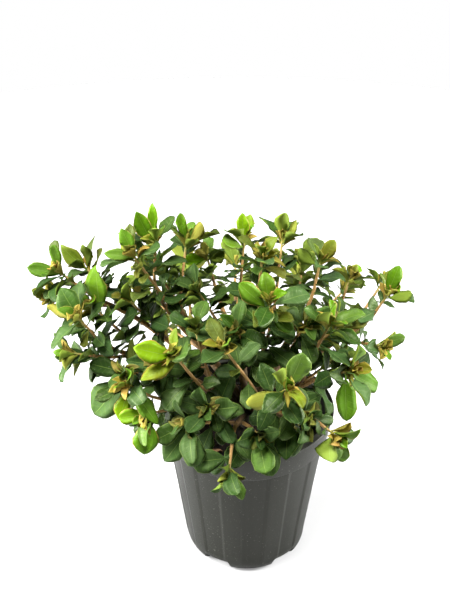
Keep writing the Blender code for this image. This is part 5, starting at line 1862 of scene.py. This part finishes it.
def chip_mesh(place, turn, size, height):
    """A split bit of bark, frayed at its ends."""
    skin = bmesh.new()
    bmesh.ops.create_cube(skin, size=1)
    bmesh.ops.subdivide_edges(skin, edges=skin.edges, cuts=CHIP_CUTS, use_grid_fill=True)
    spin = Matrix.Rotation(math.radians(turn), 4, "Z")
    for vertex in skin.verts:
        share = vertex.co.copy()
        grain_place = Vector([part * waves for part, waves in zip(share, CHIP_GRAIN)]) + Vector((turn, 0, 0))
        grain = noise.fractal(grain_place, *CHIP_NOISE)
        ends = 1 - CHIP_ROUNDING[0] * abs(share.x * 2) ** 3 - CHIP_ROUNDING[1] * abs(share.y * 2) ** 3
        spot = Vector((share.x * size[0], share.y * size[1] * ends, share.z * size[2] * ends))
        fray = [grain * most for most in CHIP_FRAY]
        spot += Vector((fray[0] * abs(share.x) * 2, fray[1], fray[2]))
        vertex.co = spin @ spot + Vector((*place, height))
    bmesh.ops.recalc_face_normals(skin, faces=skin.faces)
    mesh = bpy.data.meshes.new("bark_chip")
    skin.to_mesh(mesh)
    skin.free()
    store(mesh, "shade", [0.95] * len(mesh.vertices))
    mesh.shade_smooth()
    return mesh


class MakeLooseBits(bpy.types.Operator):
    """The two larger bark chips and the dry leaf on the mix"""

    bl_idname = "hawthorn.loose_bits"
    bl_label = "Loose bits"

    def execute(self, context):
        sizes, colours = context.scene.hawthorn_sizes, context.scene.hawthorn_colours
        bark = bit_finish("chip_bark", colours, 1.15)
        for number, (place, turn, size) in enumerate(BARK_CHIPS, 1):
            low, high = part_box(f"bark_chip_{number}")
            chip = add_piece(f"frayed_chip_{number}", chip_mesh(place, turn, size, (low.z + high.z) / 2))
            chip.data.materials.append(bark)
            finish_piece(chip, "bark", f"bark_chip_{number}")
        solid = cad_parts["potting_mix"].data
        corners = [vertex.co for vertex in solid.vertices]
        surface = BVHTree.FromPolygons(corners, [polygon.vertices for polygon in solid.polygons])
        length, width = DRY_LEAF_SIZE
        half = around(length / 2, DRY_LEAF_TURN + 90, 0).xy
        ends = [Vector(DRY_LEAF_PLACE) - half, Vector(DRY_LEAF_PLACE) + half]
        lifted = LEAF_THICKNESS / 2 + SEAT_GAP
        base, tip = [Vector((*end, height_at(surface, end) + lifted)) for end in ends]
        leaf = Leaf(base, tip - base, Vector((0, 0, 1)), length, width, -DRY_LEAF_CURL, DRY_LEAF_FOLD)
        mesh = mesh_from("dry_leaf", [base])
        for fact in ("length", "width", "arch", "fold", "base", "along", "face"):
            store(mesh, fact, [getattr(leaf, fact)])
        for fact, value in DRY_LEAF_LOOKS.items():
            store(mesh, fact, [value])
        fallen = add_piece("fallen_leaf", mesh)
        blade = add_piece("blade", blade_mesh())
        material = dry_leaf_finish(colours)
        follow_rule(
            fallen,
            leafy_shoot_rule(),
            blade=blade,
            stalk_share=DRY_STALK_SHARE,
            stalk_radius=DRY_STALK_RADIUS,
            blade_thickness=sizes.blade_thickness,
            wave_height=DRY_WAVE,
            camber=DRY_CAMBER,
            stem_material=material,
            leaf_material=material,
        )
        bpy.data.objects.remove(blade)
        finish_piece(fallen, "dry_leaf", "dry_leaf")
        return {"FINISHED"}


# Stage

# The camera looks down on the pot from the front: its turn in degrees, its lens and film in millimetres
CAMERA_PLACE = (0.0, -1.118, 1.036)
CAMERA_TURN = (58.0, 0.0, 1.29)
CAMERA_LENS = 72.8
FILM_WIDTH = 36

# Softbox: place, point it faces, width, height, power
SOFTBOXES = [
    ((-0.3, -0.75, 2.4), (0, 0, 0.25), 0.8, 0.8, 117),
    ((-1.3, -0.1, 0.7), (0, 0, 0.1), 0.4, 0.8, 70),
    ((1.3, 0.1, 0.7), (0, 0, 0.1), 0.3, 0.8, 54),
    ((0.1, 1.4, 1.3), (0, 0, 0.25), 1.2, 0.6, 8),
]

# Strength of the studio's even light, and of the plain backdrop that the camera sees
SKY = 0.015
BACKDROP = 1.0

# The floor is round and fades into the backdrop between these shares of its radius
FLOOR_REACH = 1.5
FADES_FROM, FADED_AT = 0.5, 0.98
FLOOR_SMUDGE = (0.62, 0.62, 0.62)


class MakeStage(bpy.types.Operator):
    """The pale floor, the soft studio lights and the camera"""

    bl_idname = "hawthorn.stage"
    bl_label = "Stage"

    def execute(self, context):
        scene, colours = context.scene, context.scene.hawthorn_colours
        corners = [around(FLOOR_REACH, turn, 0) for turn in range(0, 360, 5)]
        floor = add_piece("floor", mesh_from("floor", corners, (), [range(len(corners))]))
        finish = Finish("floor", roughness=0.8, specular_ior_level=0.2)
        smudge = finish.noise(finish.place, WAVES["smudges"], 2)
        finish.set(base_color=finish.blend(smudge * 0.03, colours.floor, FLOOR_SMUDGE))
        from_middle = finish.sum("LENGTH", finish.place)
        clear = finish.node("ShaderNodeBsdfTransparent")
        fading = finish.step(from_middle, FLOOR_REACH * FADES_FROM, FLOOR_REACH * FADED_AT)
        solid = Wire(finish, finish.shader.outputs[0])
        mixed = finish.node("ShaderNodeMixShader", None, {0: fading, 1: solid, 2: clear})
        finish.plug(finish.tree.nodes["Material Output"].inputs[0], mixed)
        floor.data.materials.append(finish.material)
        floor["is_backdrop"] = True
        for number, (place, aim, width, height, power) in enumerate(SOFTBOXES, 1):
            lamp = bpy.data.lights.new(f"softbox_{number}", "AREA")
            lamp.shape, lamp.size, lamp.size_y, lamp.energy = "RECTANGLE", width, height, power
            holder = bpy.data.objects.new(f"softbox_{number}", lamp)
            scene.collection.objects.link(holder)
            holder.location = place
            holder.rotation_euler = (Vector(aim) - Vector(place)).to_track_quat("-Z", "Y").to_euler()
        world = bpy.data.worlds.new("studio")
        world.use_nodes = True
        board = Board(world.node_tree)
        shown = board.node("ShaderNodeLightPath", output="Is Camera Ray")
        sky = world.node_tree.nodes["Background"]
        board.plug(sky.inputs["Color"], (1, 1, 1))
        board.plug(sky.inputs["Strength"], shown * (BACKDROP - SKY) + SKY)
        scene.world = world
        camera = bpy.data.cameras.new("camera")
        camera.lens, camera.sensor_width, camera.sensor_fit = CAMERA_LENS, FILM_WIDTH, "AUTO"
        holder = bpy.data.objects.new("camera", camera)
        scene.collection.objects.link(holder)
        holder.location = CAMERA_PLACE
        holder.rotation_euler = [math.radians(turn) for turn in CAMERA_TURN]
        scene.camera = holder
        scene.view_settings.view_transform = "Standard"
        return {"FINISHED"}


OPERATORS = (MakeStage, MakePot, MakePottingMix, MakeWoodyStems, MakeLeafyShoots, MakeLooseBits)


class HAWTHORN_PT_panel(bpy.types.Panel):
    """Lists the pieces, sizes and colours"""

    bl_label = "Potted hawthorn"
    bl_space_type = "VIEW_3D"
    bl_region_type = "UI"
    bl_category = "Hawthorn"

    def draw(self, context):
        for operator in OPERATORS:
            self.layout.operator(operator.bl_idname)
        for group in (context.scene.hawthorn_sizes, context.scene.hawthorn_colours):
            box = self.layout.box()
            for name in type(group).__annotations__:
                box.prop(group, name)


CLASSES = (HawthornSizes, HawthornColours, *OPERATORS, HAWTHORN_PT_panel)


def register():
    """Adds the classes, and the sizes and colours of the scene."""
    for each in CLASSES:
        bpy.utils.register_class(each)
    bpy.types.Scene.hawthorn_sizes = bpy.props.PointerProperty(type=HawthornSizes)
    bpy.types.Scene.hawthorn_colours = bpy.props.PointerProperty(type=HawthornColours)


def unregister():
    """Takes them out again."""
    del bpy.types.Scene.hawthorn_colours
    del bpy.types.Scene.hawthorn_sizes
    for each in reversed(CLASSES):
        bpy.utils.unregister_class(each)


def main():
    """Builds the stage and every piece."""
    register()
    for operator in OPERATORS:
        getattr(bpy.ops.hawthorn, operator.bl_idname.split(".")[1])()
    boxes = {"cad": cad_box, "visual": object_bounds()}
    {name: [list(corner) for corner in box] for name, box in boxes.items()}


if __name__ == "__main__":
    main()
